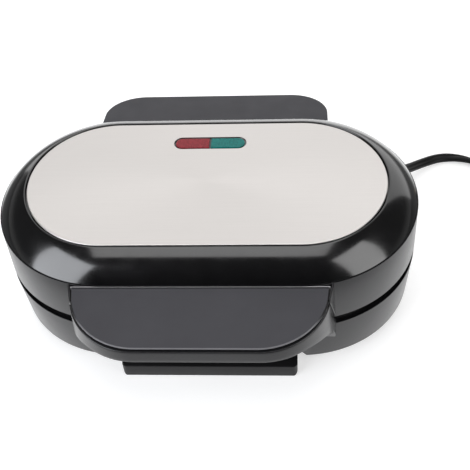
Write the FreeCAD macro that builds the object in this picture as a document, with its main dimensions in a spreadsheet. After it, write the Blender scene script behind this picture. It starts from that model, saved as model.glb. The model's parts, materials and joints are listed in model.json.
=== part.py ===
"""Electric omelette maker: a stadium-shaped countertop cooker with a hinged lid.

Frame: +Z up, table at z = 0, +X to the right, the front handle points to -Y.
The origin is the middle of the bottom of the appliance's box.  Lengths are millimetres.
"""
import FreeCAD, Part

import math
import os

import Sketcher

DOC = FreeCAD.newDocument("OmeletteMaker")
SHEET = DOC.addObject("Spreadsheet::Sheet", "Sizes")
VECTOR = FreeCAD.Vector
UP = VECTOR(0, 0, 1)
PIECES = []


class Size(float):
    """A length that remembers the sheet formula it comes from."""

    def __new__(cls, number, formula):
        made = float.__new__(cls, number)
        made.formula = formula
        return made

    def __add__(self, other):
        return Size(float(self) + float(other), "(%s + %s)" % (self.formula, formula(other)))

    def __radd__(self, other):
        return Size(float(other) + float(self), "(%s + %s)" % (formula(other), self.formula))

    def __sub__(self, other):
        return Size(float(self) - float(other), "(%s - %s)" % (self.formula, formula(other)))

    def __rsub__(self, other):
        return Size(float(other) - float(self), "(%s - %s)" % (formula(other), self.formula))

    def __mul__(self, other):
        return Size(float(self) * float(other), "(%s * %s)" % (self.formula, formula(other)))

    def __rmul__(self, other):
        return Size(float(other) * float(self), "(%s * %s)" % (formula(other), self.formula))

    def __truediv__(self, other):
        return Size(float(self) / float(other), "(%s / %s)" % (self.formula, formula(other)))

    def __neg__(self):
        return Size(-float(self), "(0 - %s)" % self.formula)

    def __abs__(self):
        return self if self > 0 else -self


def formula(value):
    """The sheet formula of a size, or the plain number."""
    return value.formula if isinstance(value, Size) else repr(float(value))


# ---------------------------------------------------------------- driving dimensions

ROWS = [0]


def size(alias, number):
    """Put one driving dimension in the sheet and give it back as a Size."""
    ROWS[0] += 1
    cell = "B%d" % ROWS[0]
    SHEET.set("A%d" % ROWS[0], alias)
    SHEET.set(cell, repr(number))
    SHEET.setAlias(cell, alias)
    return Size(number, "Sizes." + alias)


# body plan: a stadium, two half circles joined by straight sides
HALF_STRAIGHT = size("half_straight", 54.0)
EDGE_RADIUS = size("edge_radius", 67.4)
WALL_STEP = size("wall_step", 0.5)
LID_FLARE = size("lid_flare", 0.9)
BASE_RIM_STEP = size("base_rim_step", 0.9)
BASE_TAPER = size("base_taper", 2.0)
SHELL_WALL = size("shell_wall", 2.4)

# heights above the table
PAD_HEIGHT = size("pad_height", 0.8)
BASE_BOTTOM = size("base_bottom", 9.3)
BASE_TOP = size("base_top", 41.7)
PARTING = size("parting_height", 44.1)
LID_BOTTOM = size("lid_bottom", 45.7)
EDGE_HEIGHT = size("edge_height", 74.8)
EDGE_LIP = size("edge_lip", 0.6)
PLATE_TOP = size("plate_top", 88.0)
BASE_CORNER = size("base_corner", 1.0)

# lid crown, stainless plate and the deck under it
CROWN_LIP = size("crown_lip", 0.4)
CROWN_LIP_WIDTH = size("crown_lip_width", 0.8)
SHOULDER_CURVE = size("shoulder_curve", 36.0)
TOP_PLATE_RADIUS = size("top_plate_radius", 49.4)
TOP_PLATE_GAUGE = size("top_plate_gauge", 0.8)
TOP_PLATE_GAP = size("top_plate_gap", 0.5)
DECK_THICKNESS = size("deck_thickness", 2.2)

# cast cooking plates
FLANGE_RADIUS = size("flange_radius", 63.6)
FLANGE_THICKNESS = size("flange_thickness", 3.0)
PLATE_GAP = size("plate_gap", 0.4)
LEDGE_RADIUS = size("ledge_radius", 61.8)
LEDGE_THICKNESS = size("ledge_thickness", 2.0)
WELL_RADIUS = size("well_radius", 52.6)
WELL_DRAFT = size("well_draft", 5.0)
WELL_WALL = size("well_wall", 2.6)
LOWER_WELL_DEPTH = size("lower_well_depth", 17.0)
UPPER_WELL_DEPTH = size("upper_well_depth", 9.0)
RIDGE_TOP_WIDTH = size("ridge_top_width", 5.0)
RIDGE_FOOT_WIDTH = size("ridge_foot_width", 12.0)
RIDGE_DROP = size("ridge_drop", 0.6)

# tubular heating elements
HEATER_LOOP_RADIUS = size("heater_loop_radius", 33.0)
HEATER_RADIUS = size("heater_radius", 3.2)
HEATER_GAP_HALF = size("heater_gap_half", 12.0)
TERMINAL_RADIUS = size("terminal_radius", 1.5)
TERMINAL_LENGTH = size("terminal_length", 7.0)

# reflector trays
TRAY_GAUGE = size("tray_gauge", 0.6)
TRAY_FLOOR_RADIUS = size("tray_floor_radius", 43.0)
TRAY_RIM_RADIUS = size("tray_rim_radius", 48.0)
TRAY_RIM_GAP = size("tray_rim_gap", 1.0)
TRAY_NOTCH_HALF = size("tray_notch_half", 14.0)
LOWER_BOSS_LENGTH = size("lower_boss_length", 8.3)
UPPER_BOSS_LENGTH = size("upper_boss_length", 10.1)

# plate screws and the posts they run in
INNER_SCREW_X = size("inner_screw_x", 22.0)
OUTER_SCREW_OUT = size("outer_screw_out", 24.0)
POST_RADIUS = size("post_radius", 4.5)
SCREW_RADIUS = size("screw_radius", 1.7)
SCREW_CLEARANCE = size("screw_clearance", 0.05)
SCREW_HEAD_RADIUS = size("screw_head_radius", 3.2)
SCREW_HEAD_HEIGHT = size("screw_head_height", 1.4)
SCREW_BITE = size("screw_bite", 6.0)
HEAD_SINK = size("head_sink", 1.8)

# bottom cover and feet
COVER_THICKNESS = size("cover_thickness", 2.2)
COVER_CLEARANCE = size("cover_clearance", 0.2)
FOOT_HALF_WIDTH = size("foot_half_width", 52.0)
FOOT_FRONT_REACH = size("foot_front_reach", 74.2)
FOOT_DEPTH = size("foot_depth", 17.0)
FOOT_LEDGE_DEPTH = size("foot_ledge_depth", 9.0)
FOOT_LEDGE_RISE = size("foot_ledge_rise", 0.8)
FOOT_CORNER = size("foot_corner", 2.6)
REAR_FOOT_REACH = size("rear_foot_reach", 62.0)
NOTCH_CLEARANCE = size("notch_clearance", 2.2)
NOTCH_HEIGHT = size("notch_height", 4.4)
PAD_RADIUS = size("pad_radius", 5.0)
PAD_INSET = size("pad_inset", 8.0)

# front handle
HANDLE_REACH = size("handle_reach", 105.4)
HANDLE_ROOT_HALF = size("handle_root_half", 72.4)
HANDLE_KNEE_HALF = size("handle_knee_half", 70.0)
HANDLE_ROOT_REACH = size("handle_root_reach", 66.0)
HANDLE_KNEE_REACH = size("handle_knee_reach", 76.8)
HANDLE_FLAT_HALF = size("handle_flat_half", 40.0)
HANDLE_CORNER = size("handle_corner", 38.2)
HANDLE_WALL = size("handle_wall", 2.6)
PANEL_ROOT_HEIGHT = size("panel_root_height", 74.5)
PANEL_FRONT_HEIGHT = size("panel_front_height", 71.2)
PANEL_THICKNESS = size("panel_thickness", 1.0)
PANEL_INSET = size("panel_inset", 2.5)
HANDLE_GAP = size("handle_gap", 1.2)
HANDLE_FRONT_GAP = size("handle_front_gap", 2.2)
HANDLE_NEST_GAP = size("handle_nest_gap", 0.8)
HANDLE_RIB_DEPTH = size("handle_rib_depth", 6.0)
GRIP_BAND = size("grip_band", 9.0)
GRIP_ROOT_HEIGHT = size("grip_root_height", 25.0)
GRIP_ARCH_REACH = size("grip_arch_reach", 96.0)
GRIP_ARCH_CURVE = size("grip_arch_curve", 47.0)
CHEEK_THICKNESS = size("cheek_thickness", 6.4)
CHEEK_RIM = size("cheek_rim", 1.6)

# rear hinge cover
TAIL_REACH = size("tail_reach", 103.2)
TAIL_HALF = size("tail_half", 71.6)
TAIL_CORNER = size("tail_corner", 24.0)
TAIL_ROOT_HEIGHT = size("tail_root_height", 74.3)
TAIL_EDGE_HEIGHT = size("tail_edge_height", 66.6)
TAIL_SKIRT = size("tail_skirt", 9.0)
TAIL_WALL = size("tail_wall", 2.4)

# hinges
HINGE_REACH = size("hinge_reach", 77.0)
HINGE_X = size("hinge_x", 45.0)
KNUCKLE_WIDTH = size("knuckle_width", 9.0)
KNUCKLE_RADIUS = size("knuckle_radius", 5.0)
KNUCKLE_HIGH = size("knuckle_high_share", 0.8)
KNUCKLE_LOW = size("knuckle_low_share", 0.6)
EAR_WIDTH = size("ear_width", 5.0)
EAR_GAP = size("ear_gap", 0.4)
PIN_RADIUS = size("pin_radius", 2.0)
PIN_CLEARANCE = size("pin_clearance", 0.05)
PIN_PROUD = size("pin_proud", 1.0)

# indicator lamps
LAMP_X = size("lamp_window_x", 0.8)
LAMP_Y = size("lamp_window_y", 32.1)
BEZEL_LENGTH = size("bezel_length", 43.0)
BEZEL_WIDTH = size("bezel_width", 10.0)
BEZEL_RIM = size("bezel_rim", 0.8)
BEZEL_DEPTH = size("bezel_depth", 8.2)
BEZEL_PROUD = size("bezel_proud", 0.2)
LENS_CLEARANCE = size("lens_clearance", 0.1)
LENS_DEPTH = size("lens_depth", 3.0)
LENS_WEB = size("lens_web", 0.8)
WINDOW_CLEARANCE = size("window_clearance", 0.15)
LAMP_RADIUS = size("lamp_radius", 2.8)
LAMP_LENGTH = size("lamp_length", 10.0)
HOLDER_HEIGHT = size("holder_height", 6.0)

# thermostat and thermal fuse
THERMOSTAT_RADIUS = size("thermostat_radius", 8.0)
THERMOSTAT_HEIGHT = size("thermostat_height", 6.5)
FUSE_RADIUS = size("fuse_radius", 2.2)
FUSE_LENGTH = size("fuse_length", 15.0)

# mains cord
CORD_WIDTH = size("cord_width", 6.0)
CORD_ANGLE = size("cord_angle", 50.0)
CORD_EXIT_HEIGHT = size("cord_exit_height", 19.0)
RELIEF_LENGTH = size("relief_length", 22.0)
RELIEF_NECK = size("relief_neck", 1.9)
RELIEF_RADIUS = size("relief_radius", 5.6)
RELIEF_TIP_RADIUS = size("relief_tip_radius", 3.9)
RELIEF_FLANGE = size("relief_flange", 6.4)
COIL_RADIUS = size("coil_radius", 30.0)
COIL_BUNDLE_WIDTH = size("coil_bundle_width", 13.0)
COIL_BUNDLE_HEIGHT = size("coil_bundle_height", 8.0)
PLUG_LEAD_REACH = size("plug_lead_reach", 32.0)
PLUG_LENGTH = size("plug_length", 26.0)
PLUG_WIDTH = size("plug_width", 20.0)
PLUG_HEIGHT = size("plug_height", 12.0)
BLADE_LENGTH = size("blade_length", 17.5)
BLADE_WIDTH = size("blade_width", 6.3)
BLADE_GAUGE = size("blade_gauge", 1.5)
BLADE_SPACING = size("blade_spacing", 12.7)

# terminal block and inner leads
BLOCK_LENGTH = size("block_length", 20.0)
BLOCK_SIDE = size("block_side", 9.0)
BLOCK_X = size("block_x", 54.0)
BLOCK_Y = size("block_y", 50.0)
LEAD_RADIUS = size("lead_radius", 1.2)
LEAD_LEVEL = size("lead_level", 17.5)
LEAD_APART = size("lead_apart", 4.0)
LEAD_RUN = size("lead_run", 6.0)
LEAD_BACK = size("lead_back", 52.0)
LEAD_DROP = size("lead_drop", 5.0)

# how far pieces that are trimmed by a wall are first drawn inside it
INSIDE = size("reach_inside_wall", 8.0)

DOC.recompute()

# ---------------------------------------------------------------- worked-out places

WALL_RADIUS = EDGE_RADIUS - WALL_STEP
LID_RIM_RADIUS = WALL_RADIUS + LID_FLARE
BASE_RIM_RADIUS = WALL_RADIUS + BASE_RIM_STEP
BASE_FOOT_RADIUS = BASE_RIM_RADIUS - BASE_TAPER
CROWN_HEIGHT = PLATE_TOP + CROWN_LIP
RECESS_RADIUS = TOP_PLATE_RADIUS + TOP_PLATE_GAP
CROWN_RADIUS = RECESS_RADIUS + CROWN_LIP_WIDTH
DECK_TOP = PLATE_TOP - TOP_PLATE_GAUGE
DECK_BOTTOM = DECK_TOP - DECK_THICKNESS
LOWER_RIM = PARTING - PLATE_GAP / 2
UPPER_RIM = PARTING + PLATE_GAP / 2
LOWER_FLANGE = LOWER_RIM - FLANGE_THICKNESS
UPPER_FLANGE = UPPER_RIM + FLANGE_THICKNESS
LOWER_FLOOR = LOWER_RIM - LOWER_WELL_DEPTH
UPPER_FLOOR = UPPER_RIM + UPPER_WELL_DEPTH
LOWER_BACK = LOWER_FLOOR - WELL_WALL
UPPER_BACK = UPPER_FLOOR + WELL_WALL
LOWER_TRAY = LOWER_BACK - LOWER_BOSS_LENGTH
UPPER_TRAY = UPPER_BACK + UPPER_BOSS_LENGTH
COVER_TOP = BASE_BOTTOM + COVER_THICKNESS
OUTER_SCREW_X = HALF_STRAIGHT + OUTER_SCREW_OUT
SCREW_PLACES = [-OUTER_SCREW_X, -INNER_SCREW_X, INNER_SCREW_X, OUTER_SCREW_X]
PANEL_SLOPE = (PANEL_ROOT_HEIGHT - PANEL_FRONT_HEIGHT) / (HANDLE_REACH - EDGE_RADIUS)
TAIL_SLOPE = (TAIL_ROOT_HEIGHT - TAIL_EDGE_HEIGHT) / (TAIL_REACH - EDGE_RADIUS)


def panel_height(reach):
    """Height of the handle panel's top at a distance in front of the middle."""
    return PANEL_ROOT_HEIGHT - PANEL_SLOPE * (reach - EDGE_RADIUS)


def tail_height(reach):
    """Height of the hinge cover's top at a distance behind the middle."""
    return TAIL_ROOT_HEIGHT - TAIL_SLOPE * (reach - EDGE_RADIUS)


# ---------------------------------------------------------------- modelling helpers

PLANES = {
    "plan": FreeCAD.Rotation(),
    "side": FreeCAD.Rotation(VECTOR(0, 1, 0), VECTOR(0, 0, 1), VECTOR(1, 0, 0), "XYZ"),
    "front": FreeCAD.Rotation(VECTOR(1, 0, 0), VECTOR(0, 0, 1), VECTOR(0, -1, 0), "XYZ"),
    "spoke": FreeCAD.Rotation(VECTOR(0, -1, 0), VECTOR(0, 0, 1), VECTOR(-1, 0, 0), "XYZ"),
}
COUNTS = {}


def name_for(kind):
    """The next free internal name for a helper object."""
    COUNTS[kind] = COUNTS.get(kind, 0) + 1
    return "%s_%d" % (kind, COUNTS[kind])


def bind(thing, **sizes):
    """Bind properties to sheet formulas; at_x, at_y and at_z place the object."""
    for key, value in sizes.items():
        path = "Placement.Base." + key[3:] if key.startswith("at_") else key.replace("__", ".")
        thing.setExpression(path, formula(value))
    return thing


def edge_between(start, end, curve):
    """A straight edge, or an arc of radius abs(curve) bulging left (+) or right (-)."""
    a = VECTOR(float(start[0]), float(start[1]), 0)
    b = VECTOR(float(end[0]), float(end[1]), 0)
    if not curve:
        return Part.LineSegment(a, b)
    half = (b - a).Length / 2
    sagitta = abs(curve) - math.sqrt(curve * curve - half * half)
    left = VECTOR(-(b - a).y, (b - a).x, 0).normalize()
    middle = (a + b) / 2 + left * math.copysign(sagitta, curve)
    return Part.Arc(b, middle, a) if curve > 0 else Part.Arc(a, middle, b)


def outline(plane, corners, curves=None, at=None):
    """A closed sketch through the corners; curves gives the radius of an arc side."""
    curves = curves or {}
    sketch = DOC.addObject("Sketcher::SketchObject", name_for("outline"))
    sketch.Placement = FreeCAD.Placement(VECTOR(0, 0, 0), PLANES[plane])
    if at:
        bind(sketch, **at)
    count = len(corners)
    for i in range(count):
        curve = curves.get(i, 0)
        sketch.addGeometry(edge_between(corners[i], corners[(i + 1) % count], float(curve)))
    starts = []
    for i in range(count):
        side = sketch.Geometry[i]
        here = VECTOR(float(corners[i][0]), float(corners[i][1]), 0)
        starts.append(1 if (side.StartPoint - here).Length < 1e-6 else 2)
    for i, corner in enumerate(corners):
        following = (i + 1) % count
        for kind, value in (("DistanceX", corner[0]), ("DistanceY", corner[1])):
            index = sketch.addConstraint(Sketcher.Constraint(kind, -1, 1, i, starts[i], float(value)))
            if isinstance(value, Size):
                sketch.setExpression("Constraints[%d]" % index, value.formula)
        sketch.addConstraint(
            Sketcher.Constraint("Coincident", i, 3 - starts[i], following, starts[following]))
        if curves.get(i):
            radius = abs(curves[i])
            index = sketch.addConstraint(Sketcher.Constraint("Radius", i, float(radius)))
            if isinstance(radius, Size):
                sketch.setExpression("Constraints[%d]" % index, radius.formula)
    return sketch


def prism(sketch, length):
    """The sketch pushed along its plane's normal."""
    solid = DOC.addObject("Part::Extrusion", name_for("prism"))
    solid.Base = sketch
    solid.DirMode = "Normal"
    solid.Solid = True
    return bind(solid, LengthFwd=length)


def mirrored(source, normal):
    """A mirror image about a plane through the origin."""
    image = DOC.addObject("Part::Mirroring", name_for("mirrored"))
    image.Source = source
    image.Normal = normal
    return image


def fused(things):
    """The union of some solids."""
    union = DOC.addObject("Part::MultiFuse", name_for("union"))
    union.Shapes = things
    union.Refine = True
    return union


def grouped(things):
    """Separate solids kept together as one piece's group."""
    group = DOC.addObject("Part::Compound", name_for("group"))
    group.Links = things
    return group


def cut(body, *tools):
    """The body less each tool."""
    for tool in tools:
        result = DOC.addObject("Part::Cut", name_for("cut"))
        result.Base = body
        result.Tool = tool
        body = result
    return body


def common(first, second):
    """The space that two solids share."""
    result = DOC.addObject("Part::Common", name_for("common"))
    result.Base = first
    result.Tool = second
    return result


def cylinder(radius, length, x, y, z, direction=UP):
    """A cylinder whose first end is centred on (x, y, z)."""
    solid = DOC.addObject("Part::Cylinder", name_for("cylinder"))
    solid.Placement.Rotation = FreeCAD.Rotation(UP, direction)
    return bind(solid, Radius=radius, Height=length, at_x=x, at_y=y, at_z=z)


def block(length, width, height, x, y, z):
    """A box from its low corner."""
    solid = DOC.addObject("Part::Box", name_for("block"))
    return bind(solid, Length=length, Width=width, Height=height, at_x=x, at_y=y, at_z=z)


def around(profile, curves=None):
    """A (radius, height) profile carried round the stadium."""
    spoke = outline("spoke", profile, curves, {"at_x": HALF_STRAIGHT})
    side = prism(spoke, HALF_STRAIGHT * 2)
    end = DOC.addObject("Part::Revolution", name_for("end"))
    end.Source = spoke
    end.Axis = UP
    end.Angle = 180
    end.Solid = True
    bind(end, Base__x=HALF_STRAIGHT)
    return fused([end, side, mirrored(end, VECTOR(1, 0, 0)), mirrored(side, VECTOR(0, 1, 0))])


def obround(length, width, height, x, y, z):
    """An upright bar with round ends, centred on (x, y), standing on z."""
    radius = width / 2
    reach = (length - width) / 2
    return fused([
        block(reach * 2, width, height, x - reach, y - radius, z),
        cylinder(radius, height, x - reach, y, z),
        cylinder(radius, height, x + reach, y, z)])


def piece(name, thing):
    """Name a finished sub-part; its label becomes the node's name."""
    thing.Label = name
    PIECES.append(thing)
    return thing


def solid_feature(shape):
    """A shape made by Part's own functions, as an object of the document."""
    feature = DOC.addObject("Part::Feature", name_for("feature"))
    feature.Shape = shape
    feature.Placement = FreeCAD.Placement()
    return feature


def bent_tube(points, radius, bends):
    """A round tube along straight runs joined by tangent arcs."""
    path = []
    here = points[0]
    for before, corner, after, bend in zip(points, points[1:], points[2:], bends):
        into = (corner - before).normalize()
        out = (after - corner).normalize()
        half_turn = into.getAngle(out) / 2
        setback = bend * math.tan(half_turn)
        start = corner - into * setback
        end = corner + out * setback
        middle = corner + (out - into).normalize() * (bend / math.cos(half_turn) - bend)
        path.append(Part.LineSegment(here, start).toShape())
        path.append(Part.Arc(start, middle, end).toShape())
        here = end
    path.append(Part.LineSegment(here, points[-1]).toShape())
    wire = Part.Wire(path)
    section = Part.Wire(Part.Circle(points[0], points[1] - points[0], radius).toShape())
    tube = wire.makePipeShell([section], True, False)
    wanted = math.pi * radius * radius * wire.Length
    if abs(tube.Volume / wanted - 1) > 0.01:
        raise RuntimeError("a tube's volume does not match its section and length")
    return tube, wire.Length


# ---------------------------------------------------------------- lid: shell and top

def lid_envelope():
    """The lid's outer form as one solid, for trimming what sits against it."""
    return around([
        (0.0, LID_BOTTOM), (LID_RIM_RADIUS, LID_BOTTOM), (WALL_RADIUS, EDGE_HEIGHT - EDGE_LIP),
        (EDGE_RADIUS, EDGE_HEIGHT), (CROWN_RADIUS, CROWN_HEIGHT), (0.0, CROWN_HEIGHT)],
        {3: -SHOULDER_CURVE})


def lid_housing():
    """Upper casing: side wall, glossy shoulder, deck under the plate, ledge and screw posts."""
    inner = LID_RIM_RADIUS - SHELL_WALL
    shell = around([
        (LID_RIM_RADIUS, LID_BOTTOM), (WALL_RADIUS, EDGE_HEIGHT - EDGE_LIP),
        (EDGE_RADIUS, EDGE_HEIGHT), (CROWN_RADIUS, CROWN_HEIGHT), (RECESS_RADIUS, CROWN_HEIGHT),
        (RECESS_RADIUS, DECK_TOP), (0.0, DECK_TOP), (0.0, DECK_BOTTOM), (CROWN_RADIUS, DECK_BOTTOM),
        (WALL_RADIUS - SHELL_WALL, EDGE_HEIGHT - SHELL_WALL),
        (inner, UPPER_FLANGE + LEDGE_THICKNESS), (LEDGE_RADIUS, UPPER_FLANGE + LEDGE_THICKNESS),
        (LEDGE_RADIUS, UPPER_FLANGE), (inner, UPPER_FLANGE), (inner, LID_BOTTOM)],
        {2: -SHOULDER_CURVE, 8: SHOULDER_CURVE})
    top_of_tray = UPPER_TRAY + TRAY_GAUGE
    posts = [cylinder(POST_RADIUS, DECK_BOTTOM - top_of_tray, x, 0.0, top_of_tray)
             for x in SCREW_PLACES]
    bores = [cylinder(SCREW_RADIUS + SCREW_CLEARANCE, DECK_TOP - top_of_tray, x, 0.0, top_of_tray)
             for x in SCREW_PLACES]
    sinks = [cylinder(SCREW_HEAD_RADIUS + WINDOW_CLEARANCE, HEAD_SINK, x, 0.0, DECK_TOP - HEAD_SINK)
             for x in SCREW_PLACES]
    window = obround(BEZEL_LENGTH + WINDOW_CLEARANCE * 2, BEZEL_WIDTH + WINDOW_CLEARANCE * 2,
                     DECK_THICKNESS, LAMP_X, LAMP_Y, DECK_BOTTOM)
    return piece("lid_housing", cut(fused([shell] + posts), grouped(bores + sinks), window))


def top_plate():
    """Pressed stainless plate let into the crown, with the lamp window cut out."""
    sheet = around([(0.0, DECK_TOP), (TOP_PLATE_RADIUS, DECK_TOP),
                    (TOP_PLATE_RADIUS, PLATE_TOP), (0.0, PLATE_TOP)])
    window = obround(BEZEL_LENGTH + WINDOW_CLEARANCE * 2, BEZEL_WIDTH + WINDOW_CLEARANCE * 2,
                     TOP_PLATE_GAUGE, LAMP_X, LAMP_Y, DECK_TOP)
    return piece("top_plate", cut(sheet, window))


def lamp_bezel():
    """Black frame that holds both lenses and reaches down to the lamp holder."""
    low = PLATE_TOP + BEZEL_PROUD - BEZEL_DEPTH
    outer = obround(BEZEL_LENGTH, BEZEL_WIDTH, BEZEL_DEPTH, LAMP_X, LAMP_Y, low)
    opening = obround(BEZEL_LENGTH - BEZEL_RIM * 2, BEZEL_WIDTH - BEZEL_RIM * 2,
                      BEZEL_DEPTH, LAMP_X, LAMP_Y, low)
    web = block(LENS_WEB, BEZEL_WIDTH, BEZEL_DEPTH - BEZEL_PROUD * 2,
                LAMP_X - LENS_WEB / 2, LAMP_Y - BEZEL_WIDTH / 2, low)
    return piece("lamp_bezel", cut(outer, cut(opening, web)))


def lens(name, side):
    """One coloured lens: half of the obround window, seated in the bezel."""
    length = BEZEL_LENGTH - BEZEL_RIM * 2 - LENS_CLEARANCE * 2
    width = BEZEL_WIDTH - BEZEL_RIM * 2 - LENS_CLEARANCE * 2
    low = PLATE_TOP - LENS_DEPTH
    whole = obround(length, width, LENS_DEPTH + BEZEL_PROUD, LAMP_X, LAMP_Y, low)
    inset = LENS_WEB / 2 + LENS_CLEARANCE
    start = LAMP_X + inset if side > 0 else LAMP_X - inset - length / 2
    half = block(length / 2, width, LENS_DEPTH + BEZEL_PROUD, start, LAMP_Y - width / 2, low)
    return piece(name, common(whole, half))


def lamp_holder():
    """Plastic tray under the bezel with a bore for each neon lamp."""
    length = BEZEL_LENGTH - BEZEL_RIM * 2
    width = BEZEL_WIDTH - BEZEL_RIM
    top = PLATE_TOP + BEZEL_PROUD - BEZEL_DEPTH
    tray = block(length, width, HOLDER_HEIGHT, LAMP_X - length / 2, LAMP_Y - width / 2, top - HOLDER_HEIGHT)
    bores = [cylinder(LAMP_RADIUS + SCREW_CLEARANCE, HOLDER_HEIGHT, x, LAMP_Y, top - HOLDER_HEIGHT)
             for x in (LAMP_X - length / 4, LAMP_X + length / 4)]
    return piece("lamp_holder", cut(tray, *bores))


def neon_lamps():
    """Two glass neon lamps, one under each lens."""
    quarter = (BEZEL_LENGTH - BEZEL_RIM * 2) / 4
    low = PLATE_TOP + BEZEL_PROUD - BEZEL_DEPTH - HOLDER_HEIGHT
    return piece("neon_lamps", grouped(
        [cylinder(LAMP_RADIUS, LAMP_LENGTH, x, LAMP_Y, low) for x in (LAMP_X - quarter, LAMP_X + quarter)]))


def lid_screws():
    """Four long screws from the deck down into the upper plate's bosses."""
    seat = DECK_TOP - HEAD_SINK
    tip = UPPER_TRAY - SCREW_BITE
    return piece("lid_screws", grouped([fused([
        cylinder(SCREW_HEAD_RADIUS, SCREW_HEAD_HEIGHT, x, 0.0, seat),
        cylinder(SCREW_RADIUS, seat - tip, x, 0.0, tip)]) for x in SCREW_PLACES]))


# ---------------------------------------------------------------- cooking plates and heat

def wells(floor, rim, far):
    """Two half-moon wells that face each other across a drafted ridge."""
    hollow = around([(0.0, floor), (WELL_RADIUS - WELL_DRAFT, floor), (WELL_RADIUS, rim),
                     (WELL_RADIUS, far), (0.0, far)] if far > rim else
                    [(0.0, far), (WELL_RADIUS, far), (WELL_RADIUS, rim),
                     (WELL_RADIUS - WELL_DRAFT, floor), (0.0, floor)])
    crest = rim - RIDGE_DROP if far > rim else rim + RIDGE_DROP
    foot, top = RIDGE_FOOT_WIDTH / 2, RIDGE_TOP_WIDTH / 2
    corners = [(-foot, floor), (foot, floor), (top, crest), (-top, crest)]
    section = outline("front", corners, None, {"at_y": EDGE_RADIUS})
    return cut(hollow, prism(section, EDGE_RADIUS * 2))


def bosses(first, length):
    """Cast bosses on the back of a cooking plate."""
    return [cylinder(POST_RADIUS, length, x, 0.0, first) for x in SCREW_PLACES]


def boss_bores(first, length):
    """Screw bores in the bosses."""
    radius = SCREW_RADIUS + SCREW_CLEARANCE
    return [cylinder(radius, length, x, 0.0, first) for x in SCREW_PLACES]


def lower_cooking_plate():
    """Cast lower plate: flange, bowl, two wells and the bosses under it."""
    wall = WELL_RADIUS + WELL_WALL
    casting = around([
        (0.0, LOWER_BACK), (wall - WELL_DRAFT, LOWER_BACK), (wall, LOWER_FLANGE),
        (FLANGE_RADIUS, LOWER_FLANGE), (FLANGE_RADIUS, LOWER_RIM), (0.0, LOWER_RIM)])
    solid = fused([casting] + bosses(LOWER_TRAY + TRAY_GAUGE, LOWER_BOSS_LENGTH - TRAY_GAUGE))
    above = LOWER_RIM + WELL_WALL
    return piece("lower_cooking_plate", cut(
        solid, wells(LOWER_FLOOR, LOWER_RIM, above),
        grouped(boss_bores(LOWER_TRAY, LOWER_BOSS_LENGTH))))


def upper_cooking_plate():
    """Cast upper plate: flange, shallower bowl, two wells and the bosses above it."""
    wall = WELL_RADIUS + WELL_WALL
    casting = around([
        (0.0, UPPER_RIM), (FLANGE_RADIUS, UPPER_RIM), (FLANGE_RADIUS, UPPER_FLANGE),
        (wall, UPPER_FLANGE), (wall - WELL_DRAFT, UPPER_BACK), (0.0, UPPER_BACK)])
    solid = fused([casting] + bosses(UPPER_BACK, UPPER_BOSS_LENGTH))
    below = UPPER_RIM - WELL_WALL
    return piece("upper_cooking_plate", cut(
        solid, wells(UPPER_FLOOR, UPPER_RIM, below),
        grouped(boss_bores(UPPER_BACK, UPPER_BOSS_LENGTH))))


def half_ring(x, turn, height):
    """Half a torus: one bend of a heating element."""
    ring = DOC.addObject("Part::Torus", name_for("bend"))
    ring.Angle3 = 180
    ring.Placement.Rotation = FreeCAD.Rotation(UP, turn)
    return bind(ring, Radius1=HEATER_LOOP_RADIUS, Radius2=HEATER_RADIUS, at_x=x, at_z=height)


def heating_element(name, height):
    """Tubular element bent into an open stadium, its cold ends at the rear."""
    right = VECTOR(1, 0, 0)
    leg = HALF_STRAIGHT - HEATER_GAP_HALF
    front = cylinder(HEATER_RADIUS, HALF_STRAIGHT * 2, -HALF_STRAIGHT, -HEATER_LOOP_RADIUS, height, right)
    legs = [cylinder(HEATER_RADIUS, leg, x, HEATER_LOOP_RADIUS, height, right)
            for x in (-HALF_STRAIGHT, HEATER_GAP_HALF)]
    stems = [cylinder(TERMINAL_RADIUS, TERMINAL_LENGTH, x, HEATER_LOOP_RADIUS, height, right)
             for x in (-HEATER_GAP_HALF, HEATER_GAP_HALF - TERMINAL_LENGTH)]
    bends = [half_ring(HALF_STRAIGHT, -90, height), half_ring(-HALF_STRAIGHT, 90, height)]
    return piece(name, fused([front] + legs + stems + bends))


def reflector(name, floor, lip, gauge):
    """Thin tray behind an element, open at a notch where the leads come in."""
    tray = around([(0.0, floor), (TRAY_FLOOR_RADIUS, floor), (TRAY_RIM_RADIUS, lip),
                   (TRAY_RIM_RADIUS - abs(gauge), lip), (TRAY_FLOOR_RADIUS - abs(gauge), floor + gauge),
                   (0.0, floor + gauge)] if gauge > 0 else
                  [(0.0, floor + gauge), (TRAY_FLOOR_RADIUS - abs(gauge), floor + gauge),
                   (TRAY_RIM_RADIUS - abs(gauge), lip), (TRAY_RIM_RADIUS, lip),
                   (TRAY_FLOOR_RADIUS, floor), (0.0, floor)])
    holes = [cylinder(SCREW_RADIUS + SCREW_CLEARANCE, TRAY_GAUGE * 4, x, 0.0, floor - TRAY_GAUGE * 2)
             for x in SCREW_PLACES]
    low = floor + gauge if gauge > 0 else lip - TRAY_GAUGE
    high = lip + TRAY_GAUGE if gauge > 0 else floor + gauge
    notch = block(TRAY_NOTCH_HALF * 2, TRAY_RIM_RADIUS, high - low,
                  -TRAY_NOTCH_HALF, TRAY_FLOOR_RADIUS - WELL_DRAFT, low)
    return piece(name, cut(tray, grouped(holes), notch))


def thermostat():
    """Disc thermostat held against the back of the lower plate."""
    return piece("thermostat", cylinder(
        THERMOSTAT_RADIUS, THERMOSTAT_HEIGHT, 0.0, 0.0, LOWER_BACK - THERMOSTAT_HEIGHT))


def thermal_fuse():
    """Thermal fuse lying along the back of the upper plate."""
    return piece("thermal_fuse", cylinder(
        FUSE_RADIUS, FUSE_LENGTH, FUSE_LENGTH / -2, 0.0, UPPER_BACK + FUSE_RADIUS, VECTOR(1, 0, 0)))


# ---------------------------------------------------------------- base shell, cover and feet

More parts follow.
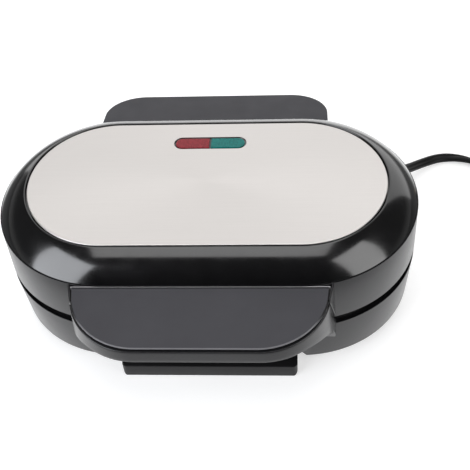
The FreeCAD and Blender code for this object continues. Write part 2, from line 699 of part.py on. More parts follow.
def base_envelope():
    """The base's outer form as one solid, for trimming what sits against it."""
    return around([
        (0.0, BASE_BOTTOM), (BASE_FOOT_RADIUS, BASE_BOTTOM),
        (BASE_FOOT_RADIUS, BASE_BOTTOM + BASE_CORNER), (BASE_RIM_RADIUS, BASE_TOP),
        (BASE_RIM_RADIUS, LID_BOTTOM), (0.0, LID_BOTTOM)])


def cord_direction():
    """Unit vector along which the cord leaves the base."""
    turn = math.radians(CORD_ANGLE)
    return VECTOR(math.cos(turn), math.sin(turn), 0)


def relief_point(radius):
    """A point on the cord's exit line, at a distance from the right end's centre."""
    along = cord_direction() * float(radius)
    return VECTOR(float(HALF_STRAIGHT) + along.x, along.y, float(CORD_EXIT_HEIGHT))


def on_cord_line(radius, start, length):
    """A cylinder on the cord's exit line."""
    return turned_to_cord(DOC.addObject("Part::Cylinder", name_for("cylinder")), start,
                          Radius=radius, Height=length)


def turned_to_cord(solid, start, **sizes):
    """Place a turned solid on the cord's exit line."""
    solid.Placement.Rotation = FreeCAD.Rotation(UP, cord_direction())
    swing = formula(CORD_ANGLE) + " * 1 deg"
    middle = formula(HALF_STRAIGHT)
    solid.setExpression("Placement.Base.x", "%s + %s * cos(%s)" % (middle, formula(start), swing))
    solid.setExpression("Placement.Base.y", "%s * sin(%s)" % (formula(start), swing))
    return bind(solid, at_z=CORD_EXIT_HEIGHT, **sizes)


def base_housing():
    """Lower casing: tapered wall, ledge for the plate, cord hole and the foot's notch."""
    inner = BASE_RIM_RADIUS - SHELL_WALL
    shell = around([
        (BASE_FOOT_RADIUS - SHELL_WALL, BASE_BOTTOM), (BASE_FOOT_RADIUS - BASE_CORNER, BASE_BOTTOM),
        (BASE_FOOT_RADIUS, BASE_BOTTOM + BASE_CORNER), (BASE_RIM_RADIUS, BASE_TOP),
        (inner, BASE_TOP), (inner, LOWER_FLANGE), (LEDGE_RADIUS, LOWER_FLANGE),
        (LEDGE_RADIUS, LOWER_FLANGE - LEDGE_THICKNESS),
        (inner - COVER_CLEARANCE, LOWER_FLANGE - LEDGE_THICKNESS)],
        {1: -BASE_CORNER})
    half = FOOT_HALF_WIDTH + NOTCH_CLEARANCE
    notch = block(half * 2, SHELL_WALL * 3, NOTCH_HEIGHT, -half,
                  -BASE_FOOT_RADIUS - SHELL_WALL, BASE_BOTTOM)
    hole = on_cord_line(RELIEF_RADIUS + SCREW_CLEARANCE, LEDGE_RADIUS - SHELL_WALL, SHELL_WALL * 4)
    return piece("base_housing", cut(shell, notch, hole))


def base_cover():
    """Bottom cover with stand-offs that carry the reflector."""
    plate = around([
        (0.0, BASE_BOTTOM), (BASE_FOOT_RADIUS - SHELL_WALL - COVER_CLEARANCE, BASE_BOTTOM),
        (BASE_FOOT_RADIUS - SHELL_WALL - COVER_CLEARANCE, COVER_TOP), (0.0, COVER_TOP)])
    posts = [cylinder(POST_RADIUS, LOWER_TRAY - COVER_TOP, x, 0.0, COVER_TOP) for x in SCREW_PLACES]
    bores = [cylinder(SCREW_RADIUS + SCREW_CLEARANCE, LOWER_TRAY - BASE_BOTTOM, x, 0.0, BASE_BOTTOM)
             for x in SCREW_PLACES]
    return piece("base_cover", cut(fused([plate] + posts), grouped(bores)))


def base_screws():
    """Four screws from under the cover up into the lower plate's bosses."""
    tip = LOWER_TRAY + TRAY_GAUGE + SCREW_BITE
    return piece("base_screws", grouped([fused([
        cylinder(SCREW_HEAD_RADIUS, SCREW_HEAD_HEIGHT, x, 0.0, BASE_BOTTOM - SCREW_HEAD_HEIGHT),
        cylinder(SCREW_RADIUS, tip - BASE_BOTTOM, x, 0.0, BASE_BOTTOM)]) for x in SCREW_PLACES]))


def rounded_foot_section(front, depth):
    """A bar across the base with its lower corners rounded."""
    half, low, high, r = FOOT_HALF_WIDTH, PAD_HEIGHT, BASE_BOTTOM, FOOT_CORNER
    section = outline("front", [
        (-half + r, low), (half - r, low), (half, low + r), (half, high), (-half, high), (-half, low + r)],
        {1: -r, 5: -r}, {"at_y": front + depth})
    return prism(section, depth)


def front_foot():
    """Wide front foot; its front stands a little higher, in the casing's notch."""
    bar = rounded_foot_section(-FOOT_FRONT_REACH, FOOT_DEPTH)
    ledge = block(FOOT_HALF_WIDTH * 2, FOOT_LEDGE_DEPTH, FOOT_LEDGE_RISE,
                  -FOOT_HALF_WIDTH, -FOOT_FRONT_REACH, BASE_BOTTOM)
    return piece("front_foot", fused([bar, ledge]))


def rear_foot():
    """Wide rear foot under the hinge side."""
    return piece("rear_foot", rounded_foot_section(REAR_FOOT_REACH - FOOT_DEPTH, FOOT_DEPTH))


def rubber_pads():
    """Four rubber pads under the feet."""
    across = FOOT_HALF_WIDTH - PAD_INSET
    rows = (PAD_INSET - FOOT_FRONT_REACH, REAR_FOOT_REACH - PAD_INSET)
    return piece("rubber_pads", grouped(
        [cylinder(PAD_RADIUS, PAD_HEIGHT, x, y, 0.0) for x in (-across, across) for y in rows]))


# ---------------------------------------------------------------- front handle

def handle_plan(inset, low, high, flare=0.0):
    """The handle's plan, drawn in by an inset, as an upright prism."""
    root, knee = HANDLE_ROOT_HALF - inset - flare, HANDLE_KNEE_HALF - inset
    front, flat = HANDLE_REACH - inset, HANDLE_FLAT_HALF
    back = HANDLE_ROOT_REACH - INSIDE
    corner = HANDLE_CORNER - inset
    plan = outline("plan", [
        (root, -back), (-root, -back), (-root, -HANDLE_ROOT_REACH), (-knee, -HANDLE_KNEE_REACH),
        (-flat, -front), (flat, -front), (knee, -HANDLE_KNEE_REACH), (root, -HANDLE_ROOT_REACH)],
        {3: -corner, 5: -corner}, {"at_z": low})
    return prism(plan, high - low)


def side_slab(corners, curves=None):
    """A (y, z) outline pushed right across the handle."""
    section = outline("side", corners, curves, {"at_x": -HANDLE_ROOT_HALF - 1.0})
    return prism(section, HANDLE_ROOT_HALF * 2 + 2.0)


def panel_slab(lowered, thickness):
    """The space between two sloping planes below the handle panel's top."""
    near, far = HANDLE_ROOT_REACH - INSIDE, HANDLE_REACH + 1.0
    top_near, top_far = panel_height(near) - lowered, panel_height(far) - lowered
    return side_slab([(-far, top_far), (-far, top_far - thickness),
                      (-near, top_near - thickness), (-near, top_near)])


def handle_panel():
    """Flat grey panel that forms the top of the lid's handle."""
    low = PANEL_FRONT_HEIGHT - PANEL_THICKNESS - 1.0
    plan = handle_plan(CHEEK_RIM / 2, low, EDGE_HEIGHT + 1.0, PANEL_INSET - CHEEK_RIM / 2)
    slab = panel_slab(0.0, PANEL_THICKNESS)
    return piece("handle_panel", cut(common(plan, slab), lid_envelope()))


def lid_handle():
    """Black carrier under the panel: plate, nesting rib and the two side cheeks."""
    low = PANEL_FRONT_HEIGHT - HANDLE_RIB_DEPTH - PANEL_THICKNESS * 2 - 1.0
    nest = HANDLE_WALL + HANDLE_NEST_GAP
    carrier = common(handle_plan(nest, low, EDGE_HEIGHT + 1.0),
                     panel_slab(PANEL_THICKNESS, HANDLE_RIB_DEPTH + PANEL_THICKNESS))
    hollow = common(handle_plan(nest + HANDLE_WALL, low, EDGE_HEIGHT + 1.0),
                    panel_slab(PANEL_THICKNESS * 2, HANDLE_RIB_DEPTH + PANEL_THICKNESS))
    knee = HANDLE_KNEE_REACH - HANDLE_GAP
    near = HANDLE_ROOT_REACH - INSIDE
    under = panel_height(knee) - PANEL_THICKNESS - HANDLE_GAP
    side = side_slab([(-near, LID_BOTTOM), (HANDLE_GAP - HANDLE_ROOT_REACH, LID_BOTTOM), (-knee, under),
                      (-knee, panel_height(knee)), (-near, panel_height(near))])
    cheeks = cut(common(handle_plan(0.0, LID_BOTTOM, EDGE_HEIGHT + 1.0), side),
                 block((HANDLE_ROOT_HALF - CHEEK_THICKNESS) * 2, INSIDE * 4, PLATE_TOP,
                       CHEEK_THICKNESS - HANDLE_ROOT_HALF, INSIDE * -4 - near, 0.0),
                 common(handle_plan(0.0, LID_BOTTOM, EDGE_HEIGHT + 1.0, CHEEK_RIM),
                        panel_slab(0.0, PANEL_THICKNESS)))
    return piece("lid_handle", cut(fused([cut(carrier, hollow), cheeks]), lid_envelope()))


def grip_side(lift):
    """The lower grip's side outline: arched finger hollow below, parting line above."""
    root, arch, front = HANDLE_ROOT_REACH - INSIDE, GRIP_ARCH_REACH, HANDLE_REACH + 1.0
    top_front = panel_height(HANDLE_REACH) - PANEL_THICKNESS - HANDLE_FRONT_GAP
    low_front = top_front - GRIP_BAND + lift
    top_knee = panel_height(HANDLE_KNEE_REACH) - PANEL_THICKNESS - HANDLE_GAP
    if lift:
        return side_slab([
            (-front, low_front), (-arch, low_front), (-HANDLE_ROOT_REACH, GRIP_ROOT_HEIGHT + lift),
            (-root, GRIP_ROOT_HEIGHT + lift), (-root, EDGE_HEIGHT), (-front, EDGE_HEIGHT)],
            {1: GRIP_ARCH_CURVE})
    return side_slab([
        (-front, low_front), (-arch, low_front), (-HANDLE_ROOT_REACH, GRIP_ROOT_HEIGHT),
        (-root, GRIP_ROOT_HEIGHT), (-root, BASE_TOP), (-HANDLE_ROOT_REACH, BASE_TOP + HANDLE_GAP),
        (-HANDLE_KNEE_REACH, top_knee), (-front, top_front)],
        {1: GRIP_ARCH_CURVE})


def base_grip():
    """Lower half of the handle, a hollow grip fixed to the base that the lid's half nests in."""
    body = common(handle_plan(0.0, GRIP_ROOT_HEIGHT, EDGE_HEIGHT), grip_side(0.0))
    hollow = common(handle_plan(HANDLE_WALL, GRIP_ROOT_HEIGHT, EDGE_HEIGHT), grip_side(HANDLE_WALL))
    return piece("base_grip", cut(body, hollow, base_envelope()))


# ---------------------------------------------------------------- rear cover and hinges

def tail_plan(inset):
    """The hinge cover's plan as an upright prism."""
    half, reach, r = TAIL_HALF - inset, TAIL_REACH - inset, TAIL_CORNER - inset
    back = BASE_FOOT_RADIUS - INSIDE
    plan = outline("plan", [
        (-half, back), (half, back), (half, reach - r), (half - r, reach), (r - half, reach),
        (-half, reach - r)], {2: -r, 4: -r}, {"at_z": LID_BOTTOM})
    return prism(plan, EDGE_HEIGHT + SHELL_WALL - LID_BOTTOM)


def tail_slab(lowered, thickness):
    """The space between two sloping planes below the hinge cover's top."""
    near, far = BASE_FOOT_RADIUS - INSIDE, TAIL_REACH + 1.0
    return side_slab([(near, tail_height(near) - lowered - thickness),
                      (far, tail_height(far) - lowered - thickness),
                      (far, tail_height(far) - lowered), (near, tail_height(near) - lowered)])


def rear_cover():
    """Grey hinge cover on the back of the lid: a sloping panel with a skirt round it."""
    body = common(tail_plan(0.0), tail_slab(0.0, TAIL_SKIRT))
    hollow = common(tail_plan(TAIL_WALL), tail_slab(TAIL_WALL, TAIL_SKIRT))
    return piece("rear_cover", cut(body, hollow, lid_envelope()))


def side_plate(corners, x, width):
    """A (y, z) outline as an upright plate from x."""
    return prism(outline("side", corners, None, {"at_x": x}), width)


def hinge_centres():
    """The two hinges, left and right of the middle."""
    return (("left", -HINGE_X), ("right", HINGE_X))


def lid_arm(name, x):
    """Arm from the lid's back wall down to the knuckle that turns on the pin."""
    start = x - KNUCKLE_WIDTH / 2
    wall = BASE_FOOT_RADIUS - SHELL_WALL
    high, low = KNUCKLE_RADIUS * KNUCKLE_HIGH, KNUCKLE_RADIUS * KNUCKLE_LOW
    under = tail_height(HINGE_REACH) - TAIL_WALL
    web = side_plate([
        (wall, LID_BOTTOM + KNUCKLE_RADIUS), (HINGE_REACH - high, PARTING - low),
        (HINGE_REACH + high, PARTING + low),
        (HINGE_REACH, under), (wall, under)], start, KNUCKLE_WIDTH)
    knuckle = cylinder(KNUCKLE_RADIUS, KNUCKLE_WIDTH, start, HINGE_REACH, PARTING, VECTOR(1, 0, 0))
    bore = cylinder(PIN_RADIUS + PIN_CLEARANCE, KNUCKLE_WIDTH, start, HINGE_REACH, PARTING, VECTOR(1, 0, 0))
    return piece(name, cut(fused([web, knuckle]), bore, lid_envelope()))


def hinge_bracket(name, x):
    """Bracket on the base's back wall: two ears and the web between them."""
    gap = KNUCKLE_WIDTH / 2 + EAR_GAP
    wall = BASE_FOOT_RADIUS - SHELL_WALL
    low = GRIP_ROOT_HEIGHT
    radius = KNUCKLE_RADIUS
    ear = [(wall, low), (HINGE_REACH + radius * KNUCKLE_HIGH, PARTING - radius * KNUCKLE_LOW),
           (HINGE_REACH - radius * KNUCKLE_LOW, PARTING + radius * KNUCKLE_HIGH),
           (wall, BASE_TOP - PLATE_GAP)]
    parts = []
    for start in (x - gap - EAR_WIDTH, x + gap):
        parts.append(side_plate(ear, start, EAR_WIDTH))
        parts.append(cylinder(radius, EAR_WIDTH, start, HINGE_REACH, PARTING, VECTOR(1, 0, 0)))
    web = block((gap + EAR_WIDTH) * 2, INSIDE, BASE_TOP - KNUCKLE_RADIUS - low,
                x - gap - EAR_WIDTH, wall, low)
    bore = cylinder(PIN_RADIUS, (gap + EAR_WIDTH) * 2, x - gap - EAR_WIDTH,
                    HINGE_REACH, PARTING, VECTOR(1, 0, 0))
    return piece(name, cut(fused(parts + [web]), bore, base_envelope()))


def hinge_pin(name, x):
    """Steel pin through both ears and the knuckle."""
    half = KNUCKLE_WIDTH / 2 + EAR_GAP + EAR_WIDTH + PIN_PROUD
    return piece(name, cylinder(PIN_RADIUS, half * 2, x - half, HINGE_REACH, PARTING, VECTOR(1, 0, 0)))


# ---------------------------------------------------------------- wiring and mains cord

RELIEF_FACE = BASE_FOOT_RADIUS - SHELL_WALL - COVER_CLEARANCE
RELIEF_TIP = BASE_FOOT_RADIUS + RELIEF_NECK + RELIEF_LENGTH


def strain_relief():
    """Rubber bushing: inner flange, neck through the wall and a tapered sleeve."""
    flange = on_cord_line(RELIEF_FLANGE, RELIEF_FACE - SHELL_WALL, SHELL_WALL)
    taper_start = RELIEF_TIP - RELIEF_LENGTH
    neck = on_cord_line(RELIEF_RADIUS, RELIEF_FACE, taper_start - RELIEF_FACE)
    taper = turned_to_cord(DOC.addObject("Part::Cone", name_for("taper")), taper_start,
                           Radius1=RELIEF_RADIUS, Radius2=RELIEF_TIP_RADIUS, Height=RELIEF_LENGTH)
    return piece("strain_relief", fused([flange, neck, taper]))


def cord_points():
    """The cord's route to its coil: straight out, down to the table, then a loose bend right."""
    return [
        relief_point(RELIEF_TIP), VECTOR(121.3, 80.2, 17.8), VECTOR(128.5, 89.3, 11.3),
        VECTOR(140.0, 102.0, 5.8), VECTOR(152.7, 110.2, 3.05), VECTOR(167.5, 109.6, 3.05),
        VECTOR(183.4, 100.6, 3.05), VECTOR(194.0, 88.6, 3.05), VECTOR(203.0, 75.4, 3.05)]


def largest_bends(points):
    """The largest arc that each corner of a route leaves room for."""
    bends = []
    for before, corner, after in zip(points, points[1:], points[2:]):
        into, out = corner - before, after - corner
        shorter = min(into.Length, out.Length)
        bends.append(0.45 * shorter / math.tan(into.getAngle(out) / 2))
    return bends


def coil_centre():
    """Middle of the coil: its turns start where the route ends, turning left."""
    points = cord_points()
    heading = (points[-1] - points[-2]).normalize()
    left = VECTOR(-heading.y, heading.x, 0)
    return points[-1] + left * float(COIL_RADIUS)


def cord():
    """The loose stretch of the mains cord, up to the coil."""
    points = cord_points()
    bends = largest_bends(points)
    tube, length = bent_tube(points, float(CORD_WIDTH) / 2, bends)
    print("cord: length %.1f, radii %s" % (length, [round(bend, 1) for bend in bends]))
    return piece("cord", solid_feature(tube))


def cord_coil():
    """The put-away length: a flat round coil lying on the table."""
    centre = coil_centre()
    outer = cylinder(COIL_RADIUS + COIL_BUNDLE_WIDTH / 2, COIL_BUNDLE_HEIGHT, centre.x, centre.y, 0.0)
    inner = cylinder(COIL_RADIUS - COIL_BUNDLE_WIDTH / 2, COIL_BUNDLE_HEIGHT, centre.x, centre.y, 0.0)
    return piece("cord_coil", cut(outer, inner))


def plug_lead_points():
    """The last stretch, from the top of the coil to the plug beside it."""
    centre, r, reach = coil_centre(), float(COIL_RADIUS), float(PLUG_LEAD_REACH)
    low, high = float(COIL_BUNDLE_HEIGHT - CORD_WIDTH * 0.4), float(PLUG_HEIGHT) / 2
    return [VECTOR(centre.x + r, centre.y + 1.0, low),
            VECTOR(centre.x + r + 0.6, centre.y + 1.0 + reach / 2, (low + high) / 2),
            VECTOR(centre.x + r + 3.0, centre.y + reach, high)]


def plug_start():
    """Where the cord enters the plug, which lies flat and points to +Y."""
    end = plug_lead_points()[-1]
    return VECTOR(end.x, end.y, float(PLUG_HEIGHT) / 2)


def plug_lead():
    """The short stretch from the coil to the plug."""
    points = plug_lead_points()
    bends = largest_bends(points)
    tube, length = bent_tube(points, float(CORD_WIDTH) / 2, bends)
    print("plug_lead: length %.1f, radii %s" % (length, [round(bend, 1) for bend in bends]))
    return piece("plug_lead", solid_feature(tube))


def plug_body():
    """Moulded two-pin plug body with a narrower neck."""
    start = plug_start()
    neck = PLUG_LENGTH * 0.3
    body = block(PLUG_WIDTH, PLUG_LENGTH - neck, PLUG_HEIGHT, start.x - PLUG_WIDTH / 2, start.y + neck, 0.0)
    sleeve = cylinder(PLUG_HEIGHT / 2, neck, start.x, start.y, PLUG_HEIGHT / 2, VECTOR(0, 1, 0))
    return piece("plug_body", fused([body, sleeve]))


def plug_blades():
    """Two flat brass blades."""
    start = plug_start()
    return piece("plug_blades", grouped([
        block(BLADE_GAUGE, BLADE_LENGTH, BLADE_WIDTH, start.x + side * BLADE_SPACING / 2 - BLADE_GAUGE / 2,
              start.y + PLUG_LENGTH, PLUG_HEIGHT / 2 - BLADE_WIDTH / 2) for side in (-1.0, 1.0)]))


def terminal_block():
    """Terminal block where the mains cord meets the inner leads."""
    return piece("terminal_block", block(BLOCK_LENGTH, BLOCK_SIDE, BLOCK_SIDE, BLOCK_X, BLOCK_Y, COVER_TOP))


def leads(name, routes):
    """A group of insulated wires."""
    tubes = []
    for route in routes:
        points = [VECTOR(*[float(value) for value in point]) for point in route]
        bends = [min(bend, 6.0) for bend in largest_bends(points)]
        tube, length = bent_tube(points, float(LEAD_RADIUS), bends)
        tubes.append(tube)
    return piece(name, solid_feature(Part.makeCompound(tubes)))


def base_leads():
    """Leads from the cord's bushing to the terminal block, and on to the lower element."""
    inner = relief_point(RELIEF_FACE - SHELL_WALL)
    level = LOWER_BACK - HEATER_RADIUS
    stem = HEATER_GAP_HALF - TERMINAL_LENGTH
    element = HEATER_LOOP_RADIUS + TERMINAL_RADIUS + PIN_CLEARANCE * 2
    left, right = BLOCK_X - PIN_CLEARANCE * 2, BLOCK_X + BLOCK_LENGTH + LEAD_RADIUS * 2 / 3
    near, far = BLOCK_Y + BLOCK_SIDE / 2 - LEAD_APART / 2, BLOCK_Y + BLOCK_SIDE / 2 + LEAD_APART / 2
    return leads("base_leads", [
        [inner, inner - cord_direction() * float(LEAD_RUN),
         (right + LEAD_RUN, BLOCK_Y, LEAD_LEVEL), (right, near + LEAD_APART / 4, LEAD_LEVEL)],
        [(left, near, LEAD_LEVEL), (HINGE_X - LEAD_RUN, near, LEAD_LEVEL), (stem, near, level),
         (stem, element, level)],
        [(left, far, LEAD_LEVEL), (HINGE_X / 2, far, LEAD_LEVEL), (-stem, far, level),
         (-stem, element, level)]])


def lid_leads():
    """Leads from the upper element to the lamps."""
    level = UPPER_BACK + HEATER_RADIUS
    stem = HEATER_GAP_HALF - TERMINAL_LENGTH
    quarter = (BEZEL_LENGTH - BEZEL_RIM * 2) / 4
    under = PLATE_TOP + BEZEL_PROUD - BEZEL_DEPTH - HOLDER_HEIGHT
    rise = HEATER_LOOP_RADIUS + TERMINAL_RADIUS + PIN_CLEARANCE * 2
    return leads("lid_leads", [
        [(side * stem, rise, level), (side * stem, LEAD_BACK, level),
         (side * stem, LEAD_BACK, under - LEAD_DROP),
         (LAMP_X + side * quarter, LAMP_Y, under - LEAD_DROP), (LAMP_X + side * quarter, LAMP_Y, under)]
        for side in (-1.0, 1.0)])


# ---------------------------------------------------------------- the assembly

def build():
    """Make every sub-part."""
    lid_housing()
    top_plate()
    lamp_bezel()
    lens("red_lens", -1)
    lens("green_lens", 1)
    lamp_holder()
    neon_lamps()
    lid_screws()
    upper_cooking_plate()
    heating_element("upper_heating_element", UPPER_BACK + HEATER_RADIUS)
    reflector("upper_reflector", UPPER_TRAY + TRAY_GAUGE, UPPER_BACK + TRAY_RIM_GAP, -TRAY_GAUGE)
    thermal_fuse()
    handle_panel()
    lid_handle()
    rear_cover()
    lid_leads()
    base_housing()
    base_cover()
    base_screws()
    front_foot()
    rear_foot()
    rubber_pads()
    base_grip()
    lower_cooking_plate()
    heating_element("lower_heating_element", LOWER_BACK - HEATER_RADIUS)
    reflector("lower_reflector", LOWER_TRAY, LOWER_BACK - TRAY_RIM_GAP, TRAY_GAUGE)
    thermostat()
    terminal_block()
    base_leads()
    for side, x in hinge_centres():
        lid_arm("lid_arm_" + side, x)
        hinge_bracket("hinge_bracket_" + side, x)
        hinge_pin("hinge_pin_" + side, x)
    strain_relief()
    cord()
    cord_coil()
    plug_lead()
    plug_body()
    plug_blades()


def check_and_export():
    """Stop on any failed object or bad shape, then write one file for each sub-part."""
    for thing in DOC.Objects:
        if "Invalid" in thing.State or "Error" in thing.State:
            raise RuntimeError("%s (%s) failed: %s" % (thing.Name, thing.Label, thing.State))
    for thing in PIECES:
        if thing.Shape.isNull() or not thing.Shape.isValid() or not thing.Shape.Solids:
            raise RuntimeError("%s has no valid solid" % thing.Label)
    os.makedirs("parts", exist_ok=True)
    for thing in PIECES:
        thing.Shape.exportStep("parts/%s.step" % thing.Label)
        print("%-24s %2d solids %10.1f mm3" % (thing.Label, len(thing.Shape.Solids), thing.Shape.Volume))


build()
DOC.recompute()
check_and_export()
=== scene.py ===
"""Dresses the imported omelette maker: surfaces, cord, materials, light and camera.

Lengths are metres in the frame's axes: +X right, +Y to the hinges, +Z up, table at z = 0.
"""
import json
import math

import bmesh
import bpy
import numpy as np
from mathutils import Matrix, Vector


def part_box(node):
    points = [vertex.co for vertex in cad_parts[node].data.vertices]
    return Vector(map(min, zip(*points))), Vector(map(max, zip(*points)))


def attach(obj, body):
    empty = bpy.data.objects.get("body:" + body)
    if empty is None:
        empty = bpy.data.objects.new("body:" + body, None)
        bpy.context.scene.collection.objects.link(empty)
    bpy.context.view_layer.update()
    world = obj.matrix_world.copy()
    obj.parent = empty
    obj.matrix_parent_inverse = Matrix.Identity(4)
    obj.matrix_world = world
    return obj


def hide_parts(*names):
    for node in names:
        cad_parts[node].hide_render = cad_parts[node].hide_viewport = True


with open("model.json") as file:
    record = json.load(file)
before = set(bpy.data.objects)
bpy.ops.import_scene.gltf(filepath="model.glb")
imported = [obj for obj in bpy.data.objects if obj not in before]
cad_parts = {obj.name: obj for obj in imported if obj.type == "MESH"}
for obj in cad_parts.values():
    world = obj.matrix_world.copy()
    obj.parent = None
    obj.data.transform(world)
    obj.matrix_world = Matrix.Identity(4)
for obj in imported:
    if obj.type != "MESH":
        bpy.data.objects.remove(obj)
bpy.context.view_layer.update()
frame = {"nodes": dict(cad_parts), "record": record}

MM = 0.001


def extent(node, axis):
    """Lowest and highest value of a CAD node along an axis."""
    low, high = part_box(node)
    return low[axis], high[axis]


# ---------------------------------------------------------------- places read from the frame

LID_BOTTOM, CROWN = extent("lid_housing", 2)
LID_RIM = extent("lid_housing", 1)[1]
HALF_STRAIGHT = extent("lid_housing", 0)[1] - LID_RIM
BASE_BOTTOM, BASE_TOP = extent("base_housing", 2)
BASE_RIM = extent("base_housing", 1)[1]
PLATE_BOTTOM, PLATE_TOP = extent("top_plate", 2)
PLATE_RADIUS = extent("top_plate", 1)[1]
HANDLE_REACH = -extent("base_grip", 1)[0]
HANDLE_ROOT_HALF = extent("base_grip", 0)[1]
TAIL_REACH = extent("rear_cover", 1)[1]
TAIL_HALF = extent("rear_cover", 0)[1]
LOWER_RIM = extent("lower_cooking_plate", 2)[1]
UPPER_RIM = extent("upper_cooking_plate", 2)[0]
FLANGE_RADIUS = extent("upper_cooking_plate", 1)[1]
BEZEL_LOW, BEZEL_HIGH = extent("lamp_bezel", 2)
LAMP_LEFT, LAMP_RIGHT = extent("lamp_bezel", 0)
LAMP_FRONT, LAMP_BACK = extent("lamp_bezel", 1)
LAMP_MIDDLE = np.array([(LAMP_LEFT + LAMP_RIGHT) / 2, (LAMP_FRONT + LAMP_BACK) / 2])
LAMP_HALF_LENGTH, LAMP_HALF_WIDTH = (LAMP_RIGHT - LAMP_LEFT) / 2, (LAMP_BACK - LAMP_FRONT) / 2

# ---------------------------------------------------------------- driving sizes

# lid: shoulder, crown, recess for the plate and lamps
EDGE_RADIUS = 67.4 * MM
EDGE_HEIGHT = 74.8 * MM
WALL_RADIUS = 67.4 * MM
CAP_RADIUS = 66.7 * MM
SHOULDER_CURVE = 36.0 * MM
SHELL_WALL = 2.4 * MM
CROWN_WIDTH = 0.6 * MM
CROWN_DROP = 0.4 * MM
RECESS_DEPTH = 1.8 * MM
RECESS_GAP = 0.8 * MM
LAMP_RIM = 0.8 * MM
LAMP_SINK = 1.1 * MM

# base: rim, ledge under the plate and foot bars
BASE_FOOT = 65.8 * MM
REBATE_DEPTH = 4.4 * MM
RIM_DROP = 2.1 * MM
REBATE_LIP = 0.5 * MM
LEDGE_RADIUS = 61.8 * MM
LEDGE_THICKNESS = 2.0 * MM
NOTCH_HEIGHT = 4.4 * MM
FOOT_LEDGE = 9.0 * MM
FOOT_END_GAP = 1.5 * MM
FOOT_END_ROUND = 2.8 * MM

# cooking plates: flanges, half-moon wells and the ridge between them
LOWER_FLANGE = 40.9 * MM
UPPER_FLANGE = 47.3 * MM
WELL_RADIUS = 52.6 * MM
WELL_DRAFT = 5.0 * MM
WELL_WALL = 2.6 * MM
LOWER_WELL_DEPTH = 17.0 * MM
UPPER_WELL_DEPTH = 9.0 * MM
RIDGE_HALF = 2.5 * MM
RIDGE_SLOPE = 3.5 * MM

# front handle: plan, panel, cheeks, carrier and grip
HANDLE_KNEE_HALF = 70.0 * MM
HANDLE_ROOT = 66.0 * MM
HANDLE_KNEE = 76.8 * MM
HANDLE_CORNER = 38.2 * MM
HANDLE_TUCK = 2.5 * MM
HANDLE_GAP = 1.2 * MM
HANDLE_FRONT_GAP = 2.2 * MM
HANDLE_WALL = 2.6 * MM
HANDLE_NEST = 3.4 * MM
HANDLE_RIB_DEPTH = 6.0 * MM
PANEL_ROOT_HEIGHT = 74.5 * MM
PANEL_FRONT_HEIGHT = 71.2 * MM
PANEL_THICKNESS = 1.0 * MM
PANEL_ROOT_GAP = 2.6 * MM
PANEL_KNEE_GAP = 1.5 * MM
PANEL_FRONT_GAP = 0.1 * MM
PANEL_LID_GAP = 0.2 * MM
PANEL_BEAD = 0.8 * MM
PANEL_BEAD_LIFT = 0.06 * MM
PANEL_SIDE_START = 61.0 * MM
PANEL_SIDE_BLEND = 5.0 * MM
PANEL_SIDE_DROP = 1.0 * MM
FLANK_DRAFT = 0.058
FLANK_TRUE_HEIGHT = 59.5 * MM
FLANK_FOOT = 40.0 * MM
CHEEK_RIM = 1.2 * MM
CHEEK_GROOVE = 2.6 * MM
CHEEK_THICKNESS = 6.4 * MM
GRIP_BAND = 9.0 * MM
GRIP_LOW_EDGE = 0.8 * MM
GRIP_TOP_EDGE = 0.45 * MM
GRIP_ROOT_HEIGHT = 28.4 * MM
GRIP_ARCH_REACH = 96.0 * MM
GRIP_ARCH_CURVE = 47.0 * MM

# hinge cover
TAIL_CORNER = 24.0 * MM
TAIL_ROOT_HEIGHT = 74.3 * MM
TAIL_EDGE_HEIGHT = 66.6 * MM
TAIL_SKIRT = 9.0 * MM
TAIL_WALL = 2.4 * MM

# mains cord and its sleeve
CORD_WIDTH = 6.5 * MM
CORD_THICKNESS = 3.9 * MM
CORD_ANGLE = math.radians(50)
CORD_EXIT_HEIGHT = 19.0 * MM
RELIEF_TIP = 89.7 * MM
COIL_RADIUS = 30.0 * MM
COIL_SWING = 3.1 * MM
COIL_TURNS = 3
COIL_STEPS = 16

# a slab's flat faces have an inner ring this far inside their rounded edges
FACE_INSET = 0.6 * MM


# ---------------------------------------------------------------- nodes and shared surface effects

def add_node(tree, kind, **settings):
    """A node of that kind with its settings and plain input values."""
    node = tree.nodes.new(kind)
    for key, value in settings.items():
        label = key.replace("_", " ")
        if label in node.inputs:
            node.inputs[label].default_value = value
        else:
            setattr(node, key, value)
    return node


def feed(tree, sockets, values):
    """Give each socket its value: a link where the value is another node's socket."""
    for socket, value in zip(sockets, values):
        if isinstance(value, bpy.types.NodeSocket):
            tree.links.new(value, socket)
        else:
            socket.default_value = value


def math_of(tree, operation, *values):
    """The result of a math operation on sockets or numbers."""
    node = add_node(tree, "ShaderNodeMath", operation=operation)
    feed(tree, node.inputs, values)
    return node.outputs["Value"]


def vector_of(tree, operation, *values):
    """The result of a vector operation, a length being a plain number."""
    node = add_node(tree, "ShaderNodeVectorMath", operation=operation)
    feed(tree, node.inputs, values)
    return node.outputs["Value" if operation == "LENGTH" else "Vector"]


def ramp_of(tree, value, span, low=0.0, high=1.0):
    """Runs from low to high as the value crosses the span, and stays level outside it."""
    node = add_node(tree, "ShaderNodeMapRange", From_Min=span[0], From_Max=span[1])
    feed(tree, [node.inputs[label] for label in ("Value", "To Min", "To Max")], (value, low, high))
    return node.outputs["Result"]


def mix_of(tree, kind, share, before, after):
    """Goes from before to after as the share goes from zero to one; kind is RGBA or FLOAT."""
    node = add_node(tree, "ShaderNodeMix", data_type=kind)
    feed(tree, [socket for socket in node.inputs if socket.enabled], (share, before, after))
    return [socket for socket in node.outputs if socket.enabled][0]


